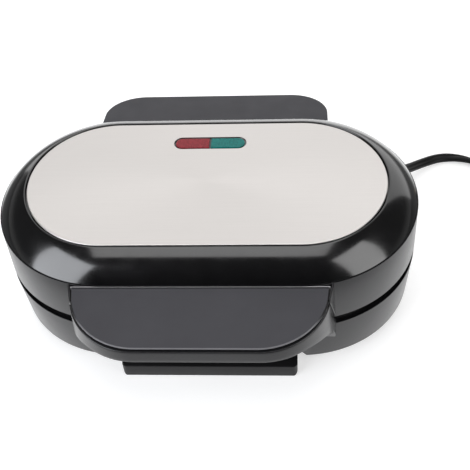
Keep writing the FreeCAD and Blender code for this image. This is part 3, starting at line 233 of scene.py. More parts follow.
def effect_group(name, result, kind, sockets, work):
    """A node group whose noise runs in object coordinates stretched by the Stretch input.

    The sockets are (name, kind, value), and work(group, given, noise) gives the result's socket.
    """
    group = bpy.data.node_groups.new(name, "ShaderNodeTree")
    for label, sort, value in [("Scale", "Float", 100.0), ("Stretch", "Vector", (1.0, 1.0, 1.0))] + sockets:
        socket = group.interface.new_socket(name=label, in_out="INPUT", socket_type="NodeSocket" + sort)
        socket.default_value = value
    group.interface.new_socket(name=result, in_out="OUTPUT", socket_type="NodeSocket" + kind)
    given, leave = add_node(group, "NodeGroupInput").outputs, add_node(group, "NodeGroupOutput")
    place = add_node(group, "ShaderNodeTexCoord").outputs["Object"]
    noise = add_node(group, "ShaderNodeTexNoise", Detail=5.0)
    group.links.new(vector_of(group, "MULTIPLY", place, given["Stretch"]), noise.inputs["Vector"])
    group.links.new(given["Scale"], noise.inputs["Scale"])
    group.links.new(work(group, given, noise.outputs["Fac"]), leave.inputs[result])
    return group


NOISE_SPAN = (0.3, 0.7)
# fine raised grain: Height is the noise itself
GRAIN = effect_group("fine grain", "Height", "Float", [], lambda group, given, noise: noise)
# uneven gloss: Roughness runs from Smooth to Dull as the noise crosses its span
GLOSS = effect_group(
    "uneven gloss", "Roughness", "Float", [("Smooth", "Float", 0.3), ("Dull", "Float", 0.5)],
    lambda group, given, noise: ramp_of(group, noise, NOISE_SPAN, given["Smooth"], given["Dull"]))
# uneven colour: Color runs from Deep to Pale as the noise crosses its span
MOTTLE = effect_group(
    "uneven colour", "Color", "Color",
    [("Deep", "Color", (0.1, 0.1, 0.1, 1.0)), ("Pale", "Color", (0.2, 0.2, 0.2, 1.0))],
    lambda group, given, noise: mix_of(group, "RGBA", ramp_of(group, noise, NOISE_SPAN),
                                       given["Deep"], given["Pale"]))


def place_effect(material, group, **values):
    """The result of one use of a shared effect, with its own values."""
    node = add_node(material.node_tree, "ShaderNodeGroup", node_tree=group)
    for key, value in values.items():
        node.inputs[key].default_value = value
    return node.outputs[0]


# ---------------------------------------------------------------- materials

def new_material(name, color, roughness, metallic=0.0, **sockets):
    """A material with one Principled shader; gives the material and its shader."""
    material = bpy.data.materials.new(name)
    material.use_nodes = True
    shader = material.node_tree.nodes["Principled BSDF"]
    shader.inputs["Base Color"].default_value = (*color, 1.0)
    shader.inputs["Roughness"].default_value = roughness
    shader.inputs["Metallic"].default_value = metallic
    for key, value in sockets.items():
        shader.inputs[key.replace("_", " ")].default_value = value
    return material, shader


def shade(color, share):
    """A colour made darker or paler by a share, with its alpha."""
    return tuple(part * share for part in color) + (1.0,)


def vary_gloss(material, shader, roughness, drift, scale, stretch=(1, 1, 1)):
    """Uneven gloss that runs by a share of the roughness either side of it."""
    gloss = place_effect(material, GLOSS, Scale=scale, Stretch=stretch,
                         Smooth=roughness * (1 - drift), Dull=roughness * (1 + drift))
    material.node_tree.links.new(gloss, shader.inputs["Roughness"])


def vary(material, shader, color, roughness, spread, drift, scale=45.0, stretch=(1, 1, 1)):
    """Uneven colour by a share either side of the value given, and a finer uneven gloss."""
    mottle = place_effect(material, MOTTLE, Scale=scale, Stretch=stretch,
                          Deep=shade(color, 1 - spread), Pale=shade(color, 1 + spread))
    material.node_tree.links.new(mottle, shader.inputs["Base Color"])
    vary_gloss(material, shader, roughness, drift, scale * 1.7, stretch)


def grained(material, shader, scale, depth, strength, stretch=(1, 1, 1)):
    """Raise the surface by the fine grain."""
    tree = material.node_tree
    bump = add_node(tree, "ShaderNodeBump", Strength=strength, Distance=depth)
    tree.links.new(place_effect(material, GRAIN, Scale=scale, Stretch=stretch), bump.inputs["Height"])
    tree.links.new(bump.outputs["Normal"], shader.inputs["Normal"])


def plastic(name, color, roughness, scale=900.0, depth=0.06 * MM, strength=0.3, ior=1.5):
    """Moulded plastic or rubber: fine grain, slightly uneven gloss and colour."""
    material, shader = new_material(name, color, roughness, IOR=ior)
    vary(material, shader, color, roughness, 0.05, 0.08)
    grained(material, shader, scale, depth, strength)
    return material


def tint(tree, shader, share, color):
    """Turn the shader's uneven colour into a plain one by a share from zero to one."""
    base = shader.inputs["Base Color"]
    tree.links.new(mix_of(tree, "RGBA", share, base.links[0].from_socket, (*color, 1.0)), base)


def panel_edge_painted_light():
    """Smooth edge of the handle's panel: a pale grey that is a painted highlight, paler still behind as a
    painted highlight under the lid, and black in the side grooves as painted shade.
    """
    # painted highlight: the bead's grey is well above the panel's, standing in for the light caught by its
    # rounded edge
    material = plastic("panel_edge_painted_light", (0.135, 0.133, 0.142), 0.34, 1300.0, 0.02 * MM, 0.1)
    tree = material.node_tree
    shader = tree.nodes["Principled BSDF"]
    place = add_node(tree, "ShaderNodeTexCoord").outputs["Object"]
    split = add_node(tree, "ShaderNodeSeparateXYZ")
    tree.links.new(place, split.inputs["Vector"])
    beside = ramp_of(tree, math_of(tree, "ABSOLUTE", split.outputs["X"]),
                     (PANEL_SIDE_START, PANEL_SIDE_START + PANEL_SIDE_BLEND))
    painted_highlight_share = ramp_of(tree, split.outputs["Y"], (-CAP_RADIUS - 2 * PANEL_BEAD, -CAP_RADIUS - PANEL_BEAD))
    # painted shade: near black along the sides, where the bead sinks into the grooves beside the cheeks
    tint(tree, shader, beside, (0.006, 0.006, 0.006))
    # painted highlight: pale at the rear edge, just under the lid's shoulder
    tint(tree, shader, painted_highlight_share, (0.40, 0.39, 0.40))
    return material


def gloss_black():
    """Polished black moulding under a clear coat, with the faintest waviness."""
    color = (0.0035, 0.0035, 0.0038)
    material, shader = new_material("gloss_black", color, 0.16, IOR=1.62, Coat_Weight=0.5,
                                    Coat_Roughness=0.09, Coat_IOR=1.5)
    vary(material, shader, color, 0.16, 0.1, 0.2, 60.0)
    grained(material, shader, 20.0, 0.5 * MM, 0.05)
    return material


def brushed_top():
    """Brushed stainless: long fine scratches along X and soft clouding."""
    color = (0.712, 0.683, 0.662)
    material, shader = new_material("brushed_top", color, 0.36, 1.0, Anisotropic=0.35)
    vary(material, shader, color, 0.36, 0.014, 0.08, 1.0, (26.0, 1900.0, 160.0))
    grained(material, shader, 1.0, 0.2 * MM, 0.012, (34.0, 2600.0, 200.0))
    return material


def metal(name, color, roughness):
    """Plain metal with a little mottling."""
    material, shader = new_material(name, color, roughness, 1.0)
    vary(material, shader, color, roughness, 0.06, 0.25, 300.0)
    grained(material, shader, 900.0, 0.05 * MM, 0.1)
    return material


def nonstick():
    """Non-stick coating: satin near-black with fine pale flecks where a cell's middle is near."""
    color = (0.012, 0.012, 0.0125)
    material, shader = new_material("nonstick_coating", color, 0.42)
    vary_gloss(material, shader, 0.42, 0.18, 408.0)
    tree = material.node_tree
    place = add_node(tree, "ShaderNodeTexCoord").outputs["Object"]
    cells = add_node(tree, "ShaderNodeTexVoronoi", Scale=900.0)
    flecks = add_node(tree, "ShaderNodeValToRGB")
    near, far = flecks.color_ramp.elements
    near.position, near.color = 0.05, (0.07, 0.07, 0.07, 1.0)
    far.position, far.color = 0.16, (*color, 1.0)
    tree.links.new(place, cells.inputs["Vector"])
    tree.links.new(cells.outputs["Distance"], flecks.inputs["Fac"])
    tree.links.new(flecks.outputs["Color"], shader.inputs["Base Color"])
    grained(material, shader, 700.0, 0.06 * MM, 0.12)
    return material


def lens_plastic(name, color, deep):
    """Tinted lens with a fine pattern of ribs moulded underneath."""
    material, shader = new_material(name, color, 0.18, IOR=1.36)
    ribs = (1500.0, 900.0, 300.0)
    ribbed = place_effect(material, MOTTLE, Scale=1.0, Stretch=ribs, Deep=(*deep, 1.0), Pale=(*color, 1.0))
    gloss = place_effect(material, GLOSS, Scale=300.0, Smooth=0.14, Dull=0.24)
    feed(material.node_tree, [shader.inputs["Base Color"], shader.inputs["Roughness"]], [ribbed, gloss])
    grained(material, shader, 1.0, 0.2 * MM, 0.2, ribs)
    return material


def clear_glass():
    """The lamps' glass."""
    color = (0.95, 0.85, 0.75)
    material, shader = new_material("lamp_glass", color, 0.05, Transmission_Weight=0.9)
    vary(material, shader, color, 0.05, 0.04, 0.4, 200.0)
    return material


MATERIALS = {
    "gloss_black": gloss_black(),
    "satin_black": plastic("satin_black", (0.0115, 0.0112, 0.0125), 0.25, 1200.0, 0.03 * MM, 0.08, 1.53),
    "panel_grey": plastic("panel_grey", (0.05, 0.0492, 0.055), 0.62, 1300.0, 0.07 * MM, 0.3, 1.32),
    "panel_edge_painted_light": panel_edge_painted_light(),
    "foot_plastic": plastic("foot_plastic", (0.009, 0.009, 0.0095), 0.42, 900.0, 0.05 * MM, 0.2, 1.38),
    "stainless_top": brushed_top(),
    "nonstick_coating": nonstick(),
    "element_sheath": metal("element_sheath", (0.30, 0.28, 0.26), 0.45),
    "reflector_sheet": metal("reflector_sheet", (0.85, 0.85, 0.86), 0.25),
    "steel_fasteners": metal("steel_fasteners", (0.62, 0.62, 0.63), 0.3),
    "control_metal": metal("control_metal", (0.7, 0.69, 0.67), 0.35),
    "lens_red": lens_plastic("lens_red", (0.29, 0.026, 0.036), (0.15, 0.013, 0.018)),
    "lens_green": lens_plastic("lens_green", (0.008, 0.19, 0.17), (0.004, 0.10, 0.09)),
    "lamp_glass": clear_glass(),
    "pad_rubber": plastic("pad_rubber", (0.02, 0.02, 0.02), 0.8, 1400.0, 0.05 * MM),
    "cord_sheath": plastic("cord_sheath", (0.005, 0.005, 0.0055), 0.42, 1400.0, 0.03 * MM, 0.15, 1.28),
    "plug_plastic": plastic("plug_plastic", (0.011, 0.011, 0.012), 0.45, 1500.0, 0.1 * MM),
    "blade_brass": metal("blade_brass", (0.78, 0.6, 0.3), 0.22),
    "wire_insulation": plastic("wire_insulation", (0.6, 0.6, 0.56), 0.6),
    "terminal_plastic": plastic("terminal_plastic", (0.7, 0.68, 0.62), 0.5),
}


def dress_frame():
    """Give each CAD node that stays the material of its slot."""
    for part in frame["record"]["subparts"]:
        node = frame["nodes"][part["node"]]
        node.data.materials.clear()
        node.data.materials.append(MATERIALS[part["material_slot"]])


# ---------------------------------------------------------------- surfaces from numbers

def add_piece(name, grid, slot, body, nodes, closed=(True, True), capped=(False, False), sharp=38.0,
              finish=None):
    """A grid of points made a mesh that rides on a body and stands for the CAD nodes given.

    Each face joins point (i, j) to (i + 1, j), (i + 1, j + 1) and (i, j + 1); closed says whether
    rows and columns run round, capped whether the first and last row are filled; finish names a
    material of its own where the slot's is not meant.
    """
    rows, columns = grid.shape[:2]
    i = np.arange(rows if closed[0] else rows - 1)[:, None]
    j = np.arange(columns if closed[1] else columns - 1)[None, :]
    up, on = (i + 1) % rows, (j + 1) % columns
    faces = np.stack([i * columns + j, up * columns + j, up * columns + on, i * columns + on], axis=-1)
    faces = faces.reshape(-1, 4).tolist()
    if capped[0]:
        faces.append(list(range(columns)))
    if capped[1]:
        faces.append(list(range((rows - 1) * columns, rows * columns)))
    mesh = bpy.data.meshes.new(name)
    mesh.from_pydata(grid.reshape(-1, 3).tolist(), [], faces)
    shell = bmesh.new()
    shell.from_mesh(mesh)
    bmesh.ops.remove_doubles(shell, verts=shell.verts, dist=0.002 * MM)
    bmesh.ops.recalc_face_normals(shell, faces=shell.faces)
    shell.to_mesh(mesh)
    shell.free()
    mesh.materials.append(MATERIALS[finish or slot])
    mesh.shade_smooth()
    mesh.set_sharp_from_angle(angle=math.radians(sharp))
    piece = bpy.data.objects.new(name, mesh)
    bpy.context.scene.collection.objects.link(piece)
    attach(piece, body)
    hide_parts(*nodes)
    return piece


# a run of rings with filled ends, and one whose ends close by themselves
CAPPED = {"closed": (False, True), "capped": (True, True)}
UNCAPPED = {"closed": (False, True)}


def circle_centre(a, b, radius):
    """Centre of a circle through two points; a positive radius puts it right of the way to b.

    It lies off the middle by the root of the squared radius less the squared half chord.
    """
    chord = b - a
    half = np.hypot(*chord) / 2
    left = np.array([-chord[1], chord[0]]) / (2 * half)
    rise = math.sqrt(max(radius * radius - half * half, 0.0))
    return (a + b) / 2 - left * math.copysign(rise, radius)


def arc(start, end, radius, steps):
    """Points from start to end on a circle; a positive radius bulges left of travel.

    Each point is the circle's centre plus the radius at evenly spaced angles between the ends.
    """
    a, b = np.array(start, float), np.array(end, float)
    centre = circle_centre(a, b, radius)
    first = math.atan2(*(a - centre)[::-1])
    last = math.atan2(*(b - centre)[::-1])
    angles = first + ((last - first + math.pi) % (2 * math.pi) - math.pi) * np.linspace(0, 1, steps + 1)
    return centre + abs(radius) * np.column_stack([np.cos(angles), np.sin(angles)])


def rounded(corners, radii, steps):
    """A closed outline with rounded corners.

    Each corner becomes an arc whose centre lies on the bisector, one radius over the sine of half
    the corner's angle away, and whose ends lie one radius over its tangent along both sides.
    """
    here = np.array(corners, float)
    into, out = np.roll(here, 1, axis=0) - here, np.roll(here, -1, axis=0) - here
    into_length, out_length = np.hypot(*into.T), np.hypot(*out.T)
    into, out = into / into_length[:, None], out / out_length[:, None]
    half = np.arccos(np.clip((into * out).sum(axis=1), -1.0, 1.0)) / 2
    reach = np.minimum(np.array(radii, float) / np.tan(half), 0.45 * np.minimum(into_length, out_length))
    radius = reach * np.tan(half)
    bisector = into + out
    bisector /= np.hypot(*bisector.T)[:, None]
    centre = here + bisector * (radius / np.sin(half))[:, None]
    start, end = here + into * reach[:, None] - centre, here + out * reach[:, None] - centre
    first, last = np.arctan2(start[:, 1], start[:, 0]), np.arctan2(end[:, 1], end[:, 0])
    turn = (last - first + np.pi) % (2 * np.pi) - np.pi
    angles = first[:, None] + turn[:, None] * np.linspace(0, 1, steps + 1)
    offset = radius[:, None, None] * np.stack([np.cos(angles), np.sin(angles)], axis=-1)
    return (centre[:, None] + offset).reshape(-1, 2)


def stadium(end_steps, side_steps):
    """Places round the stadium as centre x, outward x and outward y.

    A half turn about the right end, the straight back, a half turn about the left end and the
    straight front; the second half is the first one turned about the middle.
    """
    turn = np.linspace(-np.pi / 2, np.pi / 2, end_steps + 1)
    run = np.linspace(HALF_STRAIGHT, -HALF_STRAIGHT, side_steps + 1)[1:-1]
    right = np.column_stack([np.full_like(turn, HALF_STRAIGHT), np.cos(turn), np.sin(turn)])
    back = np.column_stack([run, np.zeros_like(run), np.ones_like(run)])
    return np.vstack([right, back, -right, -back])


PLACES = stadium(64, 20)


def carried_round(profile, places=PLACES):
    """A (radius, height) profile carried round the stadium.

    Each point is the place's centre plus its outward direction times the profile's radius.
    """
    profile = np.array(profile, float)
    radius, height = profile[:, 0], profile[:, 1]
    x = places[:, 0:1] + places[:, 1:2] * radius
    y = places[:, 2:3] * radius
    return np.stack([x, y, np.broadcast_to(height, x.shape)], axis=-1)


def inset_loop(loop, distance):
    """A plan outline drawn in: each point moves along the mean of its two sides' normals, and so far
    that both sides move by the distance, with a limit at sharp corners.
    """
    points = np.array(loop, float)
    along = np.roll(points, -1, axis=0) - points
    along /= np.hypot(*along.T)[:, None]
    normal = np.column_stack([-along[:, 1], along[:, 0]])
    middle = normal + np.roll(normal, 1, axis=0)
    scale = 2.0 / np.maximum((middle * middle).sum(axis=1), 0.4)
    return points + middle * scale[:, None] * distance


def stacked(loop, insets, heights):
    """Rings of one outline: ring k is drawn in by insets[k] and lies at heights[k](x, y)."""
    rings = [inset_loop(loop, inset) for inset in insets]
    return np.stack([np.column_stack([ring, height(ring[:, 0], ring[:, 1])])
                     for ring, height in zip(rings, heights)])


def at_height(loop, height):
    """A plan outline laid at one height."""
    return np.column_stack([loop, np.full(len(loop), height)])


def edge_steps(radius, steps=5):
    """Inset and drop of a rounded edge, from the side up to the top: a quarter circle."""
    angle = np.linspace(0, np.pi / 2, steps + 1)
    return radius * (1 - np.cos(angle)), radius * (1 - np.sin(angle))


def at(surface, lift):
    """A surface's height raised by a lift."""
    return lambda x, y: surface(x, y) + lift


def level(height):
    """A height that is the same everywhere."""
    return lambda x, y: np.full(len(x), float(height))


def slab(name, loop, top, bottom, edge, under, slot, body, nodes):
    """A plan outline between two surfaces, its upper and lower edges rounded by quarter circles."""
    in_low, up_low = edge_steps(under)
    in_high, down_high = edge_steps(edge)
    insets = np.concatenate([[under + FACE_INSET], in_low[::-1], in_high, [edge + FACE_INSET]])
    lows = [at(bottom, lift) for lift in [0.0, *up_low[::-1]]]
    highs = [at(top, -drop) for drop in [*down_high, 0.0]]
    add_piece(name, stacked(loop, insets, lows + highs), slot, body, nodes, **CAPPED)


# ---------------------------------------------------------------- lid

def lid_cap():
    """Glossy upper casing: beaded edge, round shoulder, crown lip and the recess for the plate."""
    recess = PLATE_RADIUS + RECESS_GAP
    crown, crown_height = recess + CROWN_WIDTH, CROWN - CROWN_DROP
    under, hollow_end = EDGE_HEIGHT - 0.7 * MM, EDGE_HEIGHT - SHELL_WALL
    bead = arc((CAP_RADIUS - 0.5 * MM, under), (CAP_RADIUS - 0.15 * MM, EDGE_HEIGHT + 0.6 * MM),
               -0.8 * MM, 8)
    shoulder = arc(bead[-1], (crown, crown_height), -SHOULDER_CURVE, 34)[1:]
    lip = arc(shoulder[-1], (recess, crown_height - 0.5 * MM), -0.6 * MM, 5)[1:]
    gap_floor = PLATE_BOTTOM - RECESS_DEPTH
    seat = PLATE_RADIUS - 0.9 * MM
    deck = gap_floor - 1.2 * MM
    inside = [(recess, gap_floor), (seat, gap_floor), (seat, PLATE_BOTTOM), (0.0, PLATE_BOTTOM),
              (0.0, deck), (crown, deck)]
    hollow = arc(inside[-1], (CAP_RADIUS - SHELL_WALL, hollow_end), SHOULDER_CURVE, 12)[1:]
    spigot = CAP_RADIUS - 1.3 * MM
    profile = np.vstack([bead, shoulder, lip, inside, hollow, [(spigot, hollow_end), (spigot, under)]])
    add_piece("lid_cap", carried_round(profile), "gloss_black", "lid", ["lid_housing"])


def lid_wall():
    """Satin side wall of the lid: flared outer face, ledge for the plate and an open rim below."""
    inner = LID_RIM - SHELL_WALL
    top, lip = EDGE_HEIGHT - 0.2 * MM, WALL_RADIUS - 0.35 * MM
    step, ledge = EDGE_HEIGHT - SHELL_WALL - 0.1 * MM, UPPER_FLANGE + LEDGE_THICKNESS
    corners = [(LID_RIM, LID_BOTTOM), (WALL_RADIUS, top), (lip, top), (lip, step),
               (WALL_RADIUS - SHELL_WALL, step), (inner, ledge), (LEDGE_RADIUS, ledge),
               (LEDGE_RADIUS, UPPER_FLANGE), (inner, UPPER_FLANGE), (inner, LID_BOTTOM)]
    radii = np.array([0.3, 0.3, 0.04, 0.05, 0.1, 0.1, 0.2, 0.2, 0.1, 0.3]) * MM
    add_piece("lid_wall", carried_round(rounded(corners, radii, 5)), "satin_black", "lid", ["lid_housing"])


def window_loop(grow, count=160):
    """The lamp window's outline drawn out by grow, as the plan's rays meet an obround.

    A ray at an angle meets the straight sides at the half width over its sine, and past them the
    round ends, where it satisfies the circle about the end's centre.
    """
    angle = np.linspace(0, 2 * np.pi, count, endpoint=False)
    c, s = np.cos(angle), np.sin(angle)
    half_width = LAMP_HALF_WIDTH + grow
    straight = LAMP_HALF_LENGTH - LAMP_HALF_WIDTH
    flat = half_width / np.maximum(np.abs(s), 1e-6)
    side = straight * np.abs(c)
    end = side + np.sqrt(np.maximum(half_width ** 2 - straight ** 2 + side ** 2, 0.0))
    reach = np.where(np.abs(c) * flat > straight, end, flat)
    return LAMP_MIDDLE + np.column_stack([c, s]) * reach[:, None]


def plate_loop(radius, count):
    """The stadium as seen from the lamps' middle: where each ray meets sides or round ends.

    Found on each ray by halving the stretch between a near point, no further than the radius from
    the middle line, and a far one beyond it.
    """
    angle = np.linspace(0, 2 * np.pi, count, endpoint=False)
    ray = np.column_stack([np.cos(angle), np.sin(angle)])
    low, high = np.zeros(count), np.full(count, 0.2)
    for _ in range(40):
        reach = (low + high) / 2
        point = LAMP_MIDDLE + ray * reach[:, None]
        beyond = np.maximum(np.abs(point[:, 0]) - HALF_STRAIGHT, 0.0)
        outside = np.hypot(beyond, point[:, 1]) > radius
        low, high = np.where(outside, low, reach), np.where(outside, reach, high)
    return LAMP_MIDDLE + ray * high[:, None]


def top_plate():
    """Stainless plate with a rolled edge and an opening for the lamps: rings from edge to opening."""
    count = 480
    bend, clearance = 0.5 * MM, 0.12 * MM
    inset, drop = edge_steps(bend, 4)
    edge = [at_height(plate_loop(PLATE_RADIUS - i, count), PLATE_TOP - d) for i, d in zip(inset, drop)]
    rim, hole = plate_loop(PLATE_RADIUS - bend * 2, count), window_loop(clearance, count)
    field = [at_height(rim * (1 - t) + hole * t, PLATE_TOP) for t in (0.0, 0.35, 0.7, 1.0)]
    low = [at_height(loop, PLATE_BOTTOM) for loop in (hole, plate_loop(PLATE_RADIUS, count))]
    add_piece("stainless_plate", np.stack(edge + field + low), "stainless_top", "lid", ["top_plate"])


def lens_loop(side, gap, grow):
    """Half of the window's outline on one side: straight edges and a half circle at the end."""
    half_width = LAMP_HALF_WIDTH + grow
    reach = LAMP_HALF_LENGTH - LAMP_HALF_WIDTH
    angle = np.linspace(-np.pi / 2, np.pi / 2, 17)
    x = np.concatenate([[gap], reach + half_width * np.cos(angle), [gap]])
    y = np.concatenate([[-half_width], half_width * np.sin(angle), [half_width]])
    loop = LAMP_MIDDLE + np.column_stack([side * x, y])
    return loop if side > 0 else loop[::-1]


def lamp_window():
    """Bezel ring, centre web and the two tinted lenses."""
    insets = np.array([0.0, 0.0, 0.1, 0.6, 0.8, 0.8]) * MM
    sunk = PLATE_TOP - LAMP_SINK
    heights = [BEZEL_LOW, sunk - 0.1 * MM, sunk, sunk, sunk - 0.2 * MM, BEZEL_LOW]
    rings = [at_height(window_loop(-inset), height) for inset, height in zip(insets, heights)]
    add_piece("lamp_frame", np.stack(rings), "gloss_black", "lid", ["lamp_bezel"])
    x, y = 0.4 * MM, LAMP_HALF_WIDTH - LAMP_RIM * 0.8
    web = LAMP_MIDDLE + np.array([(-x, -y), (x, -y), (x, y), (-x, y)])
    slab("lamp_web", web, level(sunk), level(BEZEL_LOW + MM), 0.1 * MM, 0.05 * MM,
         "gloss_black", "lid", ["lamp_bezel"])
    for side, slot, node in ((-1, "lens_red", "red_lens"), (1, "lens_green", "green_lens")):
        loop = lens_loop(side, 0.55 * MM, -LAMP_RIM - 0.15 * MM)
        slab(slot + "_cap", loop, level(BEZEL_HIGH - 0.1 * MM), level(PLATE_TOP - 3 * MM),
             0.3 * MM, 0.05 * MM, slot, "lid", [node])


PANEL_SLOPE = (PANEL_ROOT_HEIGHT - PANEL_FRONT_HEIGHT) / (HANDLE_REACH - EDGE_RADIUS)
PANEL_KNEE_HEIGHT = PANEL_ROOT_HEIGHT - PANEL_SLOPE * (HANDLE_KNEE - EDGE_RADIUS)


def panel_height(x, y):
    """Height of the handle panel's top: a plane that falls evenly from the lid to the front."""
    return PANEL_ROOT_HEIGHT - PANEL_SLOPE * (-y - EDGE_RADIUS)


def tail_height(x, y):
    """Height of the hinge cover's top: a plane that falls evenly from the lid to the back."""
    slope = (TAIL_ROOT_HEIGHT - TAIL_EDGE_HEIGHT) / (TAIL_REACH - EDGE_RADIUS)
    return TAIL_ROOT_HEIGHT - slope * (y - EDGE_RADIUS)


def flank(x, z):
    """A place on the handle's sides drawn in as it rises, so that the mould can part.

    It grows by the draft's share of the drop below the true height, and no more below the foot.
    """
    drop = FLANK_TRUE_HEIGHT - np.maximum(z, FLANK_FOOT)
    return x * (1 + FLANK_DRAFT * drop / HANDLE_KNEE_HALF)


def handle_loop(root_inset, knee_inset, front_inset, back):
    """Counter-clockwise plan of the front handle: straight sides, knees and two round corners.

    Each corner's circle passes through the knee and touches the front, so the flat's half width is
    the knee's less the root of the squared radius less the squared height of centre over knee.
    """
    root, knee = HANDLE_ROOT_HALF - root_inset, HANDLE_KNEE_HALF - knee_inset
    front, corner = HANDLE_REACH - front_inset, HANDLE_CORNER - front_inset
    flat = knee - math.sqrt(corner ** 2 - (front - corner - HANDLE_KNEE) ** 2)
    left = arc((-knee, -HANDLE_KNEE), (-flat, -front), -corner, 28)
    right = arc((flat, -front), (knee, -HANDLE_KNEE), -corner, 28)
    begin = max(back - HANDLE_ROOT, 0.0) / (HANDLE_KNEE - HANDLE_ROOT)
    run = np.linspace(begin, 1, 16)[:-1, None]
    down = np.array([-root, -HANDLE_ROOT]) * (1 - run) + left[0] * run
    rise = down[::-1] * np.array([-1, 1])
    ends = [[(root, -back), (-root, -back)]] if back < HANDLE_ROOT else []
    return np.vstack(ends + [down, left, right, rise])


def closed_across(rings):
    """Rings of a plan outline closed at both ends: the end rings drawn in to the middle line.

    A ring is drawn in by multiplying its x by a half and then by zero; heights depend on y alone
    and so stay.
    """
    wide = np.array([0.0, 0.5])[:, None, None]
    narrow = np.concatenate([wide, np.ones_like(wide), np.ones_like(wide)], axis=-1)
    return np.concatenate([rings[0] * narrow, rings, rings[-1] * narrow[::-1]])


def grip_low(x, y):
    """Underside of the lower grip: level at the front, then the finger hollow's arch.

    The arch is a circle through the front band's lower edge and the root's lower end: its centre
    height plus the root of the squared radius less the squared distance from its centre.
    """
    band = grip_top(x, np.full(1, -HANDLE_REACH))[0] - GRIP_BAND
    centre = circle_centre(np.array([-GRIP_ARCH_REACH, band]), np.array([-HANDLE_ROOT, GRIP_ROOT_HEIGHT]),
                           GRIP_ARCH_CURVE)
    place = np.clip(y, -GRIP_ARCH_REACH, -HANDLE_ROOT)
    return centre[1] + np.sqrt(np.maximum(GRIP_ARCH_CURVE ** 2 - (place - centre[0]) ** 2, 0.0))


def grip_top(x, y):
    """Parting line of the lower grip: from the base's rim up the cheek, then along the panel."""
    knee = PANEL_KNEE_HEIGHT - PANEL_THICKNESS - HANDLE_GAP
    front = PANEL_FRONT_HEIGHT - PANEL_THICKNESS - HANDLE_FRONT_GAP
    return np.interp(-y, [HANDLE_ROOT - HANDLE_TUCK, HANDLE_ROOT, HANDLE_KNEE, HANDLE_REACH],
                     [BASE_TOP, BASE_TOP + HANDLE_GAP, knee, front])


def between(low, top, share):
    """A height part of the way from one surface up to another."""
    return lambda x, y: low(x, y) * (1 - share) + top(x, y) * share


def grip_shell():
    """Hollow lower grip fixed to the base: drafted sides between the finger hollow and parting line."""
    loop = handle_loop(0.0, 0.0, 0.0, HANDLE_ROOT - HANDLE_TUCK)
    in_low, up_low = edge_steps(GRIP_LOW_EDGE)
    in_high, down_high = edge_steps(GRIP_TOP_EDGE)
    floor_height = at(grip_low, HANDLE_WALL)
    insets = np.concatenate([in_low[::-1], np.zeros(3), in_high, np.full(3, HANDLE_WALL)])
    heights = [at(grip_low, lift) for lift in up_low[::-1]]
    heights += [between(grip_low, grip_top, share) for share in (0.3, 0.55, 0.8)]
    heights += [at(grip_top, -drop) for drop in [*down_high, 0.0]]
    heights += [between(floor_height, grip_top, 0.5), floor_height]
    grid = closed_across(stacked(loop, insets, heights))
    grid[..., 0] = flank(grid[..., 0], grid[..., 2])
    add_piece("grip_shell", grid, "satin_black", "base", ["base_grip"], **UNCAPPED, sharp=50.0)


def bead_height(x, y):
    """Height of the panel's bead: the panel's own, less a drop that grows along both sides."""
    beside = np.clip((np.abs(x) - PANEL_SIDE_START) / PANEL_SIDE_BLEND, 0, 1)
    before = np.clip((-y - CAP_RADIUS - PANEL_BEAD) / PANEL_BEAD, 0, 1)
    return panel_height(x, y) - PANEL_SIDE_DROP * beside * before


def handle_panel():
    """Flat grey panel on top of the front handle and the smooth bead along its front and rear edges."""
    loop = handle_loop(PANEL_ROOT_GAP, PANEL_KNEE_GAP, PANEL_FRONT_GAP, CAP_RADIUS + PANEL_LID_GAP)
    over, drop = edge_steps(PANEL_BEAD / 2)
    insets = np.concatenate([[PANEL_BEAD], PANEL_BEAD - over, over[::-1], [0.0, PANEL_BEAD]])
    lifts = np.concatenate([[-PANEL_THICKNESS], -drop, -drop[::-1], [-0.6 * MM, -PANEL_THICKNESS]])
    rings = stacked(loop, insets, [at(bead_height, lift + PANEL_BEAD_LIFT) for lift in lifts])
    # the bead's material paints a highlight along its front and rear and shade where it sinks at the sides
    add_piece("handle_top_bead", rings, "panel_grey", "lid", ["handle_panel"], finish="panel_edge_painted_light")
    edge = 0.1 * MM
    slab("handle_top", inset_loop(loop, PANEL_BEAD - edge), panel_height,
         at(panel_height, -PANEL_THICKNESS), edge, edge, "panel_grey", "lid", ["handle_panel"])


def handle_carrier():
    """Black carrier under the panel: a plate with a rib all round that nests in the grip."""
    loop = handle_loop(HANDLE_NEST, HANDLE_NEST, HANDLE_NEST, HANDLE_ROOT - HANDLE_TUCK)
    bevel = 0.3 * MM
    insets = [HANDLE_WALL, HANDLE_WALL, bevel, 0.0, 0.0]
    under = -HANDLE_RIB_DEPTH - PANEL_THICKNESS * 2
    lifts = [-PANEL_THICKNESS * 2, under, under, under + bevel, -PANEL_THICKNESS]
    grid = closed_across(stacked(loop, insets, [at(panel_height, lift) for lift in lifts]))
    add_piece("handle_carrier", grid, "satin_black", "lid", ["lid_handle"], **UNCAPPED)


